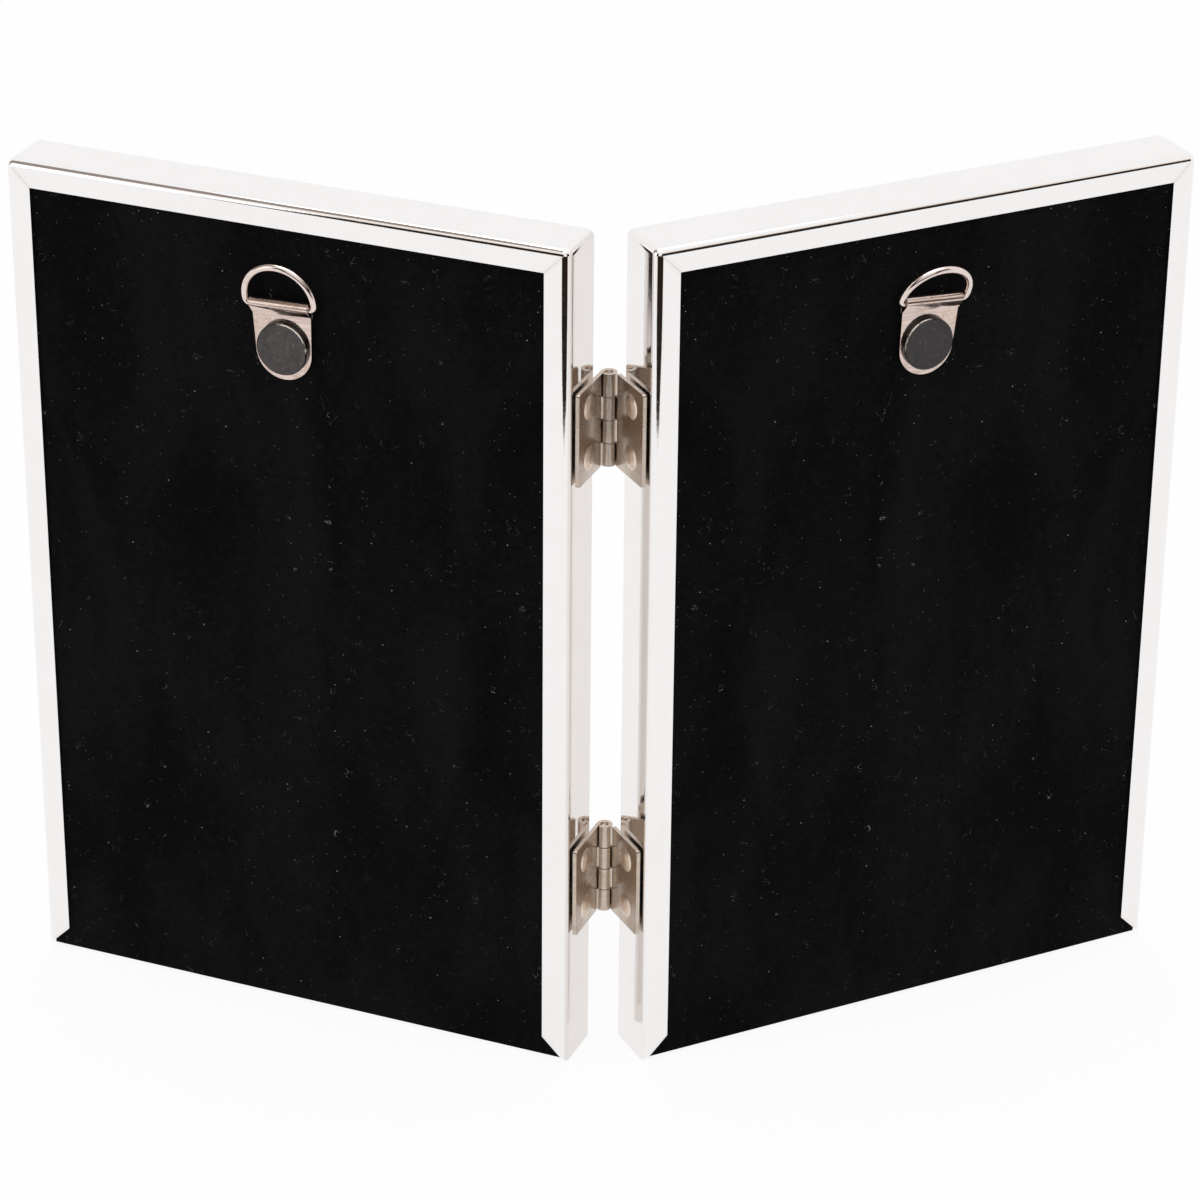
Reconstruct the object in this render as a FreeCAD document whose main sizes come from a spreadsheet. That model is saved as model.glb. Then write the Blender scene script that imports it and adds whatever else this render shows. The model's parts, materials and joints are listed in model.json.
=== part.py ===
import FreeCAD, Part
import math
import os

import Sketcher

# Hinged double photo frame: two slim sheet-metal leaves for 4 x 6 inch photographs, joined by two
# rolled butt hinges and standing open in a V, with a velvet-backed board and a D-ring in each.
#
# Right and left are as seen from the front, which faces -Y.  Each piece of a leaf is drawn in the
# leaf's own frame: x runs outward from the hinge pins, y from front to back, z up from the table.
# The origin of the whole is the middle of its outline, on the table.

# Driving sizes, in millimetres, degrees and counts
SIZES = [
    # leaf
    ("leaf_width", 103.6, "outside width of one leaf"),
    ("leaf_height", 155.0, "outside height of one leaf"),
    ("leaf_depth", 11.2, "front face to back face"),
    ("metal", 0.5, "sheet metal of the rails"),
    ("flange_width", 4.55, "back flange, from the outside of the wall"),
    ("lip_width", 6.0, "front lip, from the outside of the wall to the sight edge"),
    ("sight_return", 0.9, "depth of the turned sight edge behind the lip"),
    ("back_round", 1.5, "rolled back edge"),
    ("front_round", 1.0, "rolled front edge"),
    ("sight_round", 0.3, "rolled sight edge"),
    ("corner_round", 0.9, "outline at the two top corners"),
    ("half_opening", 24.18, "angle of each leaf to the plane of the flat frame"),
    # loose sheets in the leaf
    ("side_play", 0.5, "sheet to side wall"),
    ("top_play", 0.5, "sheet to top wall"),
    ("foot_play", 1.6, "table to the glass and the photograph"),
    ("board_foot_play", 0.3, "table to the back board"),
    ("layer_play", 0.1, "between two layers"),
    ("glass_thick", 2.0, "glass"),
    ("photo_thick", 0.3, "photograph sheet"),
    ("board_thick", 3.0, "core of the back board"),
    ("velvet_thick", 0.4, "velvet cover"),
    ("velvet_round", 0.6, "turned edge of the velvet"),
    # hinges
    ("pin_radius", 0.65, "hinge pin"),
    ("pin_play", 0.05, "pin to knuckle bore"),
    ("pin_recess", 0.3, "pin end below the barrel end"),
    ("pin_chamfer", 0.2, "chamfered pin end"),
    ("hinge_metal", 0.7, "sheet metal of the hinge"),
    ("pin_ahead", 1.8, "pin axis in front of the front face"),
    ("plate_play", 0.4, "hinge plate to leaf wall"),
    ("plate_reach", 11.2, "pin axis to the rear edge of the plate"),
    ("plate_round", 0.5, "rear corners of the plate"),
    ("hinge_height", 16.9, "height of one hinge"),
    ("knuckle_count", 4, "knuckles of one hinge"),
    ("knuckle_play", 0.12, "between two knuckles"),
    ("notch_play", 0.25, "knuckle to the notch in the other plate"),
    ("seam_play", 0.15, "rolled end to its own plate"),
    ("upper_hinge_base", 112.05, "foot of the upper hinge above the table"),
    ("lower_hinge_base", 25.6, "foot of the lower hinge above the table"),
    ("rivet_pitch", 9.3, "between the two rivets of a plate"),
    ("rivet_inset", 4.3, "rivet axis to the rear edge of the plate"),
    ("rivet_head_radius", 2.2, "domed rivet head"),
    ("rivet_head_height", 0.6, "domed rivet head"),
    ("rivet_crown_share", 0.36, "flat crown of the head, share of its radius"),
    ("rivet_shoulder_share", 0.75, "shoulder of the head, share of its radius"),
    ("rivet_shoulder_rise", 0.52, "shoulder of the head, share of its height"),
    ("rivet_radius", 1.0, "rivet shank"),
    ("rivet_play", 0.05, "shank to hole"),
    ("rivet_tail_radius", 1.6, "clinched rivet tail"),
    ("rivet_tail_height", 0.3, "clinched rivet tail"),
    # hangers
    ("right_hanger_out", 51.7, "hanger rivet from the hinge-side wall, right leaf"),
    ("right_hanger_down", 25.7, "hanger rivet from the top, right leaf"),
    ("right_hanger_turn", 2.0, "lean of the strap, right leaf"),
    ("right_ring_tilt", 12.0, "ring off the velvet, right leaf"),
    ("left_hanger_out", 51.2, "hanger rivet from the hinge-side wall, left leaf"),
    ("left_hanger_down", 25.3, "hanger rivet from the top, left leaf"),
    ("left_hanger_turn", 4.5, "lean of the strap, left leaf"),
    ("left_ring_tilt", 27.0, "ring off the velvet, left leaf"),
    ("strap_metal", 0.5, "sheet metal of the strap"),
    ("strap_width", 10.3, "strap below the loop"),
    ("strap_loop_width", 10.9, "strap at the loop"),
    ("strap_below", 0.65, "rivet axis to the centre of the strap's round end"),
    ("strap_fall", 1.9, "loop to the foot of its slope"),
    ("loop_rise", 7.7, "rivet axis to ring bar axis"),
    ("loop_play", 0.08, "ring bar to loop"),
    ("wire_radius", 0.65, "ring wire"),
    ("ring_width", 14.0, "outside width of the ring"),
    ("ring_rise", 7.6, "bar axis to the top of the wire's axis"),
    ("ring_bend", 0.9, "bend of the wire at the ends of the bar"),
    ("ring_butt", 0.3, "gap between the wire's ends, inside the loop"),
    ("wire_sides", 8, "flats round the wire"),
    ("cap_radius", 4.65, "flat rivet cap"),
    ("cap_height", 1.0, "flat rivet cap"),
    ("cap_chamfer", 0.25, "edge of the rivet cap"),
    ("shank_radius", 1.6, "hanger rivet shank"),
    ("shank_play", 0.05, "shank to hole"),
    ("clinch_radius", 2.8, "hanger rivet tail, in the front of the board"),
    ("clinch_height", 0.5, "hanger rivet tail"),
    # cuts
    ("overrun", 1.0, "how far each cut runs past the metal"),
]

doc = FreeCAD.newDocument("hinged_double_photo_frame")
sheet = doc.addObject("Spreadsheet::Sheet", "Sizes")
for row, (alias, number, meaning) in enumerate(SIZES, start=1):
    sheet.set("A%d" % row, alias)
    sheet.set("B%d" % row, str(number))
    sheet.setAlias("B%d" % row, alias)
    sheet.set("C%d" % row, meaning)
doc.recompute()


class Size:
    """A number together with the sheet formula that gives it."""

    def __init__(self, value, formula):
        self.value = float(value)
        self.formula = formula

    def __add__(self, other):
        other = as_size(other)
        return Size(self.value + other.value, "(%s + %s)" % (self.formula, other.formula))

    def __sub__(self, other):
        other = as_size(other)
        return Size(self.value - other.value, "(%s - %s)" % (self.formula, other.formula))

    def __mul__(self, other):
        other = as_size(other)
        return Size(self.value * other.value, "%s * %s" % (self.formula, other.formula))

    def __truediv__(self, other):
        other = as_size(other)
        return Size(self.value / other.value, "%s / %s" % (self.formula, other.formula))

    def __neg__(self):
        return Size(-self.value, "-1 * %s" % self.formula)

    __radd__ = __add__
    __rmul__ = __mul__


def as_size(number):
    return number if isinstance(number, Size) else Size(number, "(%g)" % number)


def cell(alias):
    return Size(sheet.get(alias), "Sizes.%s" % alias)


ZERO = as_size(0)

leaf_width = cell("leaf_width")
leaf_height = cell("leaf_height")
leaf_depth = cell("leaf_depth")
metal = cell("metal")
flange_width = cell("flange_width")
lip_width = cell("lip_width")
sight_return = cell("sight_return")
back_round = cell("back_round")
front_round = cell("front_round")
sight_round = cell("sight_round")
corner_round = cell("corner_round")
half_opening = cell("half_opening")
side_play = cell("side_play")
top_play = cell("top_play")
foot_play = cell("foot_play")
board_foot_play = cell("board_foot_play")
layer_play = cell("layer_play")
glass_thick = cell("glass_thick")
photo_thick = cell("photo_thick")
board_thick = cell("board_thick")
velvet_thick = cell("velvet_thick")
velvet_round = cell("velvet_round")
pin_radius = cell("pin_radius")
pin_play = cell("pin_play")
pin_recess = cell("pin_recess")
pin_chamfer = cell("pin_chamfer")
hinge_metal = cell("hinge_metal")
pin_ahead = cell("pin_ahead")
plate_play = cell("plate_play")
plate_reach = cell("plate_reach")
plate_round = cell("plate_round")
hinge_height = cell("hinge_height")
knuckle_count = cell("knuckle_count")
knuckle_play = cell("knuckle_play")
notch_play = cell("notch_play")
seam_play = cell("seam_play")
upper_hinge_base = cell("upper_hinge_base")
lower_hinge_base = cell("lower_hinge_base")
rivet_pitch = cell("rivet_pitch")
rivet_inset = cell("rivet_inset")
rivet_head_radius = cell("rivet_head_radius")
rivet_head_height = cell("rivet_head_height")
rivet_crown_share = cell("rivet_crown_share")
rivet_shoulder_share = cell("rivet_shoulder_share")
rivet_shoulder_rise = cell("rivet_shoulder_rise")
rivet_radius = cell("rivet_radius")
rivet_play = cell("rivet_play")
rivet_tail_radius = cell("rivet_tail_radius")
rivet_tail_height = cell("rivet_tail_height")
strap_metal = cell("strap_metal")
strap_width = cell("strap_width")
strap_loop_width = cell("strap_loop_width")
strap_below = cell("strap_below")
strap_fall = cell("strap_fall")
loop_rise = cell("loop_rise")
loop_play = cell("loop_play")
wire_radius = cell("wire_radius")
ring_width = cell("ring_width")
ring_rise = cell("ring_rise")
ring_bend = cell("ring_bend")
ring_butt = cell("ring_butt")
wire_sides = cell("wire_sides")
cap_radius = cell("cap_radius")
cap_height = cell("cap_height")
cap_chamfer = cell("cap_chamfer")
shank_radius = cell("shank_radius")
shank_play = cell("shank_play")
clinch_radius = cell("clinch_radius")
clinch_height = cell("clinch_height")
overrun = cell("overrun")

# Sizes that follow from the driving ones
bore_radius = pin_radius + pin_play
barrel_radius = bore_radius + hinge_metal
wall_x = barrel_radius + plate_play
front_y = pin_ahead
back_y = pin_ahead + leaf_depth
knuckle_height = hinge_height / knuckle_count
rivet_y = plate_reach - rivet_inset
glass_front = front_y + metal + sight_return + layer_play
photo_front = glass_front + glass_thick + layer_play
card_front = photo_front + photo_thick + layer_play
velvet_back = back_y - metal - layer_play
board_back = velvet_back - velvet_thick
board_front = board_back - board_thick
card_back = board_front - layer_play
loop_bore = wire_radius + loop_play
loop_radius = loop_bore + strap_metal
bar_y = loop_radius


def at(x, y, z, turn=None):
    """A placement from sizes."""
    return FreeCAD.Placement(FreeCAD.Vector(x.value, y.value, z.value), turn or FreeCAD.Rotation())


def pin_setback():
    """How far behind the middle of the outline the hinge pins stand."""
    sine = math.sin(math.radians(half_opening.value))
    cosine = math.cos(math.radians(half_opening.value))
    back_x = wall_x + back_round
    back_centre = back_y - back_round
    rear = back_centre * cosine - back_x * sine + back_round
    outer_x = wall_x + leaf_width - front_round
    front_centre = front_y + front_round
    front = front_centre * cosine - outer_x * sine - front_round
    return (rear + front) / -2


def leaf_place(hand):
    turn = FreeCAD.Rotation(FreeCAD.Vector(0, 0, 1), -hand * half_opening.value)
    return at(ZERO, pin_setback(), ZERO, turn)


pieces = []


def new_piece(label, place):
    body = doc.addObject("PartDesign::Body", label)
    body.Label = label
    body.Placement = place
    pieces.append(body)
    return body


def new_sketch(body, role, name, offset=ZERO):
    """A sketch on one of the body's own planes, moved along the plane's normal."""
    sketch = body.newObject("Sketcher::SketchObject", name)
    plane = [feature for feature in body.Origin.OriginFeatures if feature.Role == role][0]
    sketch.AttachmentSupport = [(plane, "")]
    sketch.MapMode = "FlatFace"
    sketch.setExpression(".AttachmentOffset.Base.z", offset.formula)
    return sketch


def fix_point(sketch, curve, end, x, y):
    """Tie one point to the sketch origin with two bound dimensions."""
    for kind, size, axis in (("DistanceX", x, -2), ("DistanceY", y, -1)):
        if abs(size.value) < 1e-9:
            sketch.addConstraint(Sketcher.Constraint("PointOnObject", curve, end, axis))
            continue
        index = sketch.addConstraint(Sketcher.Constraint(kind, -1, 1, curve, end, size.value))
        sketch.setExpression("Constraints[%d]" % index, size.formula)


def fix_radius(sketch, curve, radius):
    index = sketch.addConstraint(Sketcher.Constraint("Radius", curve, radius.value))
    sketch.setExpression("Constraints[%d]" % index, radius.formula)


def heading(start, end):
    run = end[0].value - start[0].value
    rise = end[1].value - start[1].value
    length = math.hypot(run, rise)
    return run / length, rise / length


def trace(sketch, corners, closed=True):
    """Lines end to end through the corners (x, y, round); a round needs a square corner."""
    count = len(corners)
    knots = []
    for number, (x, y, round_) in enumerate(corners):
        if round_ is None:
            knots.append([(x, y)])
            continue
        came = heading(corners[number - 1], corners[number])
        goes = heading(corners[number], corners[(number + 1) % count])
        came = [as_size(round(part)) for part in came]
        goes = [as_size(round(part)) for part in goes]
        start = (x - came[0] * round_, y - came[1] * round_)
        end = (x + goes[0] * round_, y + goes[1] * round_)
        centre = (start[0] + goes[0] * round_, start[1] + goes[1] * round_)
        turn = came[0].value * goes[1].value - came[1].value * goes[0].value
        knots.append([start, end, centre, round_, turn])
    runs = []
    for number, knot in enumerate(knots):
        if len(knot) > 2:
            runs.append((knot[0], knot[1], knot[2], knot[3], knot[4]))
        if number + 1 == count and not closed:
            break
        start = knot[1] if len(knot) > 2 else knot[0]
        end = knots[(number + 1) % count][0]
        if math.hypot(end[0].value - start[0].value, end[1].value - start[1].value) < 1e-6:
            continue
        runs.append((start, end, None, None, None))
    ends = []
    for start, end, centre, radius, turn in runs:
        a = FreeCAD.Vector(start[0].value, start[1].value, 0)
        b = FreeCAD.Vector(end[0].value, end[1].value, 0)
        if centre is None:
            curve = sketch.addGeometry(Part.LineSegment(a, b))
            ends.append((curve, 1, 2))
            continue
        middle = FreeCAD.Vector(centre[0].value, centre[1].value, 0)
        if turn < 0:
            a, b = b, a
        circle = Part.Circle(middle, FreeCAD.Vector(0, 0, 1), radius.value)
        first = math.atan2(a.y - middle.y, a.x - middle.x)
        last = math.atan2(b.y - middle.y, b.x - middle.x)
        curve = sketch.addGeometry(Part.ArcOfCircle(circle, first, last))
        fix_radius(sketch, curve, radius)
        ends.append((curve, 1, 2) if turn > 0 else (curve, 2, 1))
    for number, (curve, first, last) in enumerate(ends):
        fix_point(sketch, curve, first, runs[number][0][0], runs[number][0][1])
        if number + 1 < len(ends) or closed:
            after = ends[(number + 1) % len(ends)]
            sketch.addConstraint(Sketcher.Constraint("Coincident", curve, last, after[0], after[1]))
        else:
            fix_point(sketch, curve, last, runs[number][1][0], runs[number][1][1])
    return sketch


def ring(sketch, x, y, radius):
    centre = FreeCAD.Vector(x.value, y.value, 0)
    circle = Part.Circle(centre, FreeCAD.Vector(0, 0, 1), radius.value)
    curve = sketch.addGeometry(circle)
    fix_point(sketch, curve, 3, x, y)
    fix_radius(sketch, curve, radius)


def box_corners(x0, y0, x1, y1):
    return [(x0, y0, None), (x1, y0, None), (x1, y1, None), (x0, y1, None)]


def pad(body, sketch, length, backwards=False, both_ways=False):
    feature = body.newObject("PartDesign::Pad", "Pad")
    feature.Profile = sketch
    feature.setExpression("Length", length.formula)
    feature.Reversed = backwards
    feature.Midplane = both_ways
    doc.recompute()
    return feature


def cut(body, sketch, length=None, backwards=False):
    """A pocket, through everything both ways unless it has a length; it must take metal away."""
    before = body.Shape.Volume
    feature = body.newObject("PartDesign::Pocket", "Pocket")
    feature.Profile = sketch
    if length is None:
        feature.Type = "ThroughAll"
        feature.Midplane = True
    else:
        feature.setExpression("Length", length.formula)
        feature.Reversed = backwards
    doc.recompute()
    if body.Shape.Volume > before * (1 - 1e-9):
        raise RuntimeError("%s: %s cuts nothing" % (body.Label, sketch.Name))
    return feature


def spin(body, sketch, axis):
    feature = body.newObject("PartDesign::Revolution", "Revolution")
    feature.Profile = sketch
    feature.ReferenceAxis = (sketch, [axis])
    feature.Angle = 360
    doc.recompute()
    return feature


# Rails of a leaf

def channel(spot):
    """Section of a rail: lip with a turned sight edge, wall, and back flange."""
    return [
        spot(ZERO, ZERO) + (front_round,),
        spot(lip_width, ZERO) + (sight_round,),
        spot(lip_width, metal + sight_return) + (None,),
        spot(lip_width - metal, metal + sight_return) + (None,),
        spot(lip_width - metal, metal) + (None,),
        spot(metal, metal) + (front_round - metal,),
        spot(metal, leaf_depth - metal) + (back_round - metal,),
        spot(flange_width, leaf_depth - metal) + (None,),
        spot(flange_width, leaf_depth) + (None,),
        spot(ZERO, leaf_depth) + (back_round,),
    ]


def corner_nick(x, inward):
    """What the rounded outline takes off a square top corner."""
    return [
        (x - inward * overrun, leaf_height - corner_round, None),
        (x, leaf_height - corner_round, None),
        (x, leaf_height, corner_round),
        (x + inward * corner_round, leaf_height, None),
        (x + inward * corner_round, leaf_height + overrun, None),
        (x - inward * overrun, leaf_height + overrun, None),
    ]


def side_rail(label, hand, x, inward, hinged):
    """x is the outside of the wall and inward the way to the other side rail, +1 or -1."""
    body = new_piece(label, leaf_place(hand))
    section = new_sketch(body, "XY_Plane", "Section")
    trace(section, channel(lambda a, b: (x + inward * a, front_y + b)))
    pad(body, section, leaf_height)
    reach = lip_width + overrun
    mitre = new_sketch(body, "XZ_Plane", "TopMitre")
    trace(mitre, [
        (x - inward * overrun, leaf_height + overrun, None),
        (x + inward * reach, leaf_height - reach, None),
        (x + inward * reach, leaf_height + overrun, None),
    ])
    cut(body, mitre)
    mitre = new_sketch(body, "XZ_Plane", "FootMitre")
    trace(mitre, [
        (x + inward * metal, -overrun, None),
        (x + inward * metal, metal, None),
        (x + inward * reach, reach, None),
        (x + inward * reach, -overrun, None),
    ])
    cut(body, mitre)
    nick = new_sketch(body, "XZ_Plane", "Corner")
    trace(nick, corner_nick(x, inward))
    cut(body, nick)
    if hinged:
        holes = new_sketch(body, "YZ_Plane", "RivetHoles", x + inward * metal / 2)
        for base in (lower_hinge_base, upper_hinge_base):
            for side in (-1, 1):
                height = base + hinge_height / 2 + side * rivet_pitch / 2
                ring(holes, rivet_y, height, rivet_radius + rivet_play)
        hole_cut = cut(body, holes, metal * 2, backwards=False)
        hole_cut.Midplane = True
        doc.recompute()
    return body


def top_rail(label, hand):
    body = new_piece(label, leaf_place(hand))
    section = new_sketch(body, "YZ_Plane", "Section", hand * wall_x)
    trace(section, channel(lambda a, b: (front_y + b, leaf_height - a)))
    pad(body, section, leaf_width, backwards=hand < 0)
    reach = lip_width + overrun
    for name, x, inward in (("InnerMitre", wall_x, 1), ("OuterMitre", wall_x + leaf_width, -1)):
        mitre = new_sketch(body, "XZ_Plane", name)
        trace(mitre, [
            (hand * (x - inward * overrun), leaf_height + overrun, None),
            (hand * (x + inward * reach), leaf_height - reach, None),
            (hand * (x - inward * overrun), leaf_height - reach, None),
        ])
        cut(body, mitre)
        nick = new_sketch(body, "XZ_Plane", name + "Corner")
        trace(nick, corner_nick(hand * x, hand * inward))
        cut(body, nick)
    return body


def bottom_rail(label, hand):
    """Front lip with a shallow turned foot; the slot behind it stays open for the sheets."""
    body = new_piece(label, leaf_place(hand))
    section = new_sketch(body, "YZ_Plane", "Section", hand * (wall_x + metal))
    trace(section, [
        (front_y, ZERO, front_round),
        (front_y, lip_width, sight_round),
        (front_y + metal + sight_return, lip_width, None),
        (front_y + metal + sight_return, lip_width - metal, None),
        (front_y + metal, lip_width - metal, None),
        (front_y + metal, metal, front_round - metal),
        (front_y + metal + sight_return, metal, None),
        (front_y + metal + sight_return, ZERO, None),
    ])
    pad(body, section, leaf_width - 2 * metal, backwards=hand < 0)
    reach = lip_width + overrun
    for name, x, inward in (("InnerMitre", wall_x, 1), ("OuterMitre", wall_x + leaf_width, -1)):
        mitre = new_sketch(body, "XZ_Plane", name)
        near = metal - overrun
        trace(mitre, [
            (hand * (x + inward * near), near, None),
            (hand * (x + inward * reach), reach, None),
            (hand * (x + inward * near), reach, None),
        ])
        cut(body, mitre)
    return body


# Loose sheets of a leaf

sheet_x0 = wall_x + metal + side_play
sheet_x1 = wall_x + leaf_width - metal - side_play
sheet_top = leaf_height - metal - top_play


def flat_sheet(label, hand, front, back, foot):
    body = new_piece(label, leaf_place(hand))
    section = new_sketch(body, "XY_Plane", "Section", foot)
    trace(section, box_corners(hand * sheet_x0, front, hand * sheet_x1, back))
    pad(body, section, sheet_top - foot)
    return body


def hanger_spot(side):
    out = cell(side + "_hanger_out")
    down = cell(side + "_hanger_down")
    return wall_x + out, leaf_height - down


def back_board(label, hand, side):
    """Core of the board, inside the velvet, with a hole and a recess for the hanger rivet."""
    hang_x, hang_z = hanger_spot(side)
    body = new_piece(label, leaf_place(hand))
    foot = board_foot_play + velvet_thick
    section = new_sketch(body, "XY_Plane", "Section", foot)
    x0 = hand * (sheet_x0 + velvet_thick)
    x1 = hand * (sheet_x1 - velvet_thick)
    trace(section, box_corners(x0, board_front, x1, board_back))
    pad(body, section, sheet_top - velvet_thick - foot)
    hole = new_sketch(body, "XZ_Plane", "RivetHole")
    ring(hole, hand * hang_x, hang_z, shank_radius + shank_play)
    cut(body, hole)
    recess = new_sketch(body, "XZ_Plane", "ClinchRecess", -board_front)
    ring(recess, hand * hang_x, hang_z, clinch_radius + shank_play)
    cut(body, recess, clinch_height)
    return body


def velvet_cover(label, hand, side):
    """Velvet over the back of the board, turned round its four edges."""
    hang_x, hang_z = hanger_spot(side)
    body = new_piece(label, leaf_place(hand))
    section = new_sketch(body, "XY_Plane", "Section", board_foot_play)
    trace(section, [
        (hand * sheet_x0, board_front, None),
        (hand * sheet_x1, board_front, None),
        (hand * sheet_x1, velvet_back, velvet_round),
        (hand * sheet_x0, velvet_back, velvet_round),
    ])
    pad(body, section, sheet_top - board_foot_play)
    for name, edge, inward in (("TopTurn", sheet_top, -1), ("FootTurn", board_foot_play, 1)):
        turn = new_sketch(body, "YZ_Plane", name)
        trace(turn, [
            (velvet_back - velvet_round, edge - inward * overrun, None),
            (velvet_back - velvet_round, edge, None),
            (velvet_back, edge, velvet_round),
            (velvet_back, edge + inward * velvet_round, None),
            (velvet_back + overrun, edge + inward * velvet_round, None),
            (velvet_back + overrun, edge - inward * overrun, None),
        ])
        cut(body, turn)
    foot = board_foot_play + velvet_thick
    core = new_sketch(body, "XY_Plane", "Core", foot)
    x0 = hand * (sheet_x0 + velvet_thick)
    x1 = hand * (sheet_x1 - velvet_thick)
    trace(core, box_corners(x0, board_front - overrun, x1, board_back))
    cut(body, core, sheet_top - velvet_thick - foot, backwards=True)
    hole = new_sketch(body, "XZ_Plane", "RivetHole")
    ring(hole, hand * hang_x, hang_z, shank_radius + shank_play)
    cut(body, hole)
    return body


# Hanger: its frame has the rivet axis along y, and y = 0 on the velvet

def hanger_place(hand, side):
    hang_x, hang_z = hanger_spot(side)
    turn = FreeCAD.Rotation(FreeCAD.Vector(0, 1, 0), hand * cell(side + "_hanger_turn").value)
    return leaf_place(hand).multiply(at(hand * hang_x, velvet_back, hang_z, turn))


def hanger_rivet(label, hand, side):
    body = new_piece(label, hanger_place(hand, side))
    section = new_sketch(body, "XY_Plane", "Section")
    seat = strap_metal * 2
    tail = -(velvet_thick + board_thick)
    trace(section, [
        (ZERO, seat + cap_height, None),
        (cap_radius - cap_chamfer, seat + cap_height, None),
        (cap_radius, seat + cap_height - cap_chamfer, None),
        (cap_radius, seat, None),
        (shank_radius, seat, None),
        (shank_radius, tail + clinch_height, None),
        (clinch_radius, tail + clinch_height, None),
        (clinch_radius, tail, None),
        (ZERO, tail, None),
    ])
    spin(body, section, "V_Axis")
    return body


def hanger_strap(label, hand, side):
    """Strip folded round the ring's bar, its two layers pressed together under the rivet cap."""
    body = new_piece(label, hanger_place(hand, side))
    foot = -(strap_below + strap_width / 2)
    crest = loop_rise + loop_radius
    section = new_sketch(body, "YZ_Plane", "Fold")
    trace(section, [
        (ZERO, foot - overrun, None),
        (ZERO, crest, loop_radius),
        (loop_radius * 2, crest, loop_radius),
        (loop_radius * 2, loop_rise, None),
        (strap_metal * 2, loop_rise - strap_fall, None),
        (strap_metal * 2, foot - overrun, None),
    ])
    pad(body, section, strap_loop_width, both_ways=True)
    bore = new_sketch(body, "YZ_Plane", "Loop")
    ring(bore, bar_y, loop_rise, loop_bore)
    cut(body, bore)
    throat = new_sketch(body, "YZ_Plane", "Throat")
    trace(throat, [
        (strap_metal, loop_rise, None),
        (loop_radius * 2 - strap_metal, loop_rise, None),
        (strap_metal, loop_rise - strap_fall, None),
    ])
    cut(body, throat)
    outline = new_sketch(body, "XZ_Plane", "Outline")
    edge = strap_loop_width / 2
    half = strap_width / 2
    for way in (-1, 1):
        trace(outline, [
            (way * (edge + overrun), loop_rise - loop_radius, None),
            (way * edge, loop_rise - loop_radius, None),
            (way * half, -strap_below, None),
            (way * half, foot, half),
            (ZERO, foot, None),
            (ZERO, foot - overrun * 2, None),
            (way * (edge + overrun), foot - overrun * 2, None),
        ])
    cut(body, outline)
    hole = new_sketch(body, "XZ_Plane", "RivetHole")
    ring(hole, ZERO, ZERO, shank_radius + shank_play)
    cut(body, hole)
    return body


def d_ring(label, hand, side):
    """Bent wire, round by flats: a bar in the strap's loop, butted at its middle, and a bow."""
    tilt = FreeCAD.Rotation(FreeCAD.Vector(1, 0, 0), -cell(side + "_ring_tilt").value)
    place = hanger_place(hand, side).multiply(at(ZERO, bar_y, loop_rise, tilt))
    body = new_piece(label, place)
    bow = ring_width / 2 - wire_radius
    path = new_sketch(body, "XZ_Plane", "Path")
    trace(path, [
        (ring_butt / 2, ZERO, None),
        (bow, ZERO, ring_bend),
        (bow, ring_rise, bow),
        (-bow, ring_rise, bow),
        (-bow, ZERO, ring_bend),
        (-ring_butt / 2, ZERO, None),
    ], closed=False)
    wire = new_sketch(body, "YZ_Plane", "Wire", ring_butt / 2)
    flats = int(wire_sides.value)
    corners = []
    for number in range(flats):
        angle = math.radians(360 * number / flats)
        corners.append((wire_radius * math.cos(angle), wire_radius * math.sin(angle), None))
    trace(wire, corners)
    doc.recompute()
    pipe = body.newObject("PartDesign::AdditivePipe", "Pipe")
    pipe.Profile = wire
    pipe.Spine = path
    doc.recompute()
    return body


# Hinges: their frame has the pin on z and z = 0 at the foot of the hinge

def hinge_place(hand, base):
    return leaf_place(hand).multiply(at(ZERO, ZERO, base))


def hinge_plate(label, hand, base, first):
    """Plate with its own knuckles rolled round the pin; first is its lowest knuckle, 0 or 1."""
    body = new_piece(label, hinge_place(hand, base))
    plate = new_sketch(body, "YZ_Plane", "Plate", hand * bore_radius)
    trace(plate, [
        (ZERO, ZERO, None),
        (plate_reach, ZERO, plate_round),
        (plate_reach, hinge_height, plate_round),
        (ZERO, hinge_height, None),
    ])
    pad(body, plate, hinge_metal, backwards=hand < 0)
    barrel = new_sketch(body, "XY_Plane", "Barrel")
    ring(barrel, ZERO, ZERO, barrel_radius)
    pad(body, barrel, hinge_height)
    bore = new_sketch(body, "XY_Plane", "Bore")
    ring(bore, ZERO, ZERO, bore_radius)
    cut(body, bore)
    seam = new_sketch(body, "XY_Plane", "Seam")
    trace(seam, box_corners(hand * (bore_radius - seam_play), ZERO,
                            hand * bore_radius, barrel_radius + overrun))
    cut(body, seam)
    notches = new_sketch(body, "YZ_Plane", "Notches")
    for number in range(1 - first, int(knuckle_count.value), 2):
        low = knuckle_height * number - knuckle_play / 2
        high = knuckle_height * (number + 1) + knuckle_play / 2
        trace(notches, box_corners(-(barrel_radius + overrun), low, barrel_radius + notch_play, high))
    cut(body, notches)
    holes = new_sketch(body, "YZ_Plane", "RivetHoles")
    for side in (-1, 1):
        ring(holes, rivet_y, hinge_height / 2 + side * rivet_pitch / 2, rivet_radius + rivet_play)
    cut(body, holes)
    return body


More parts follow.
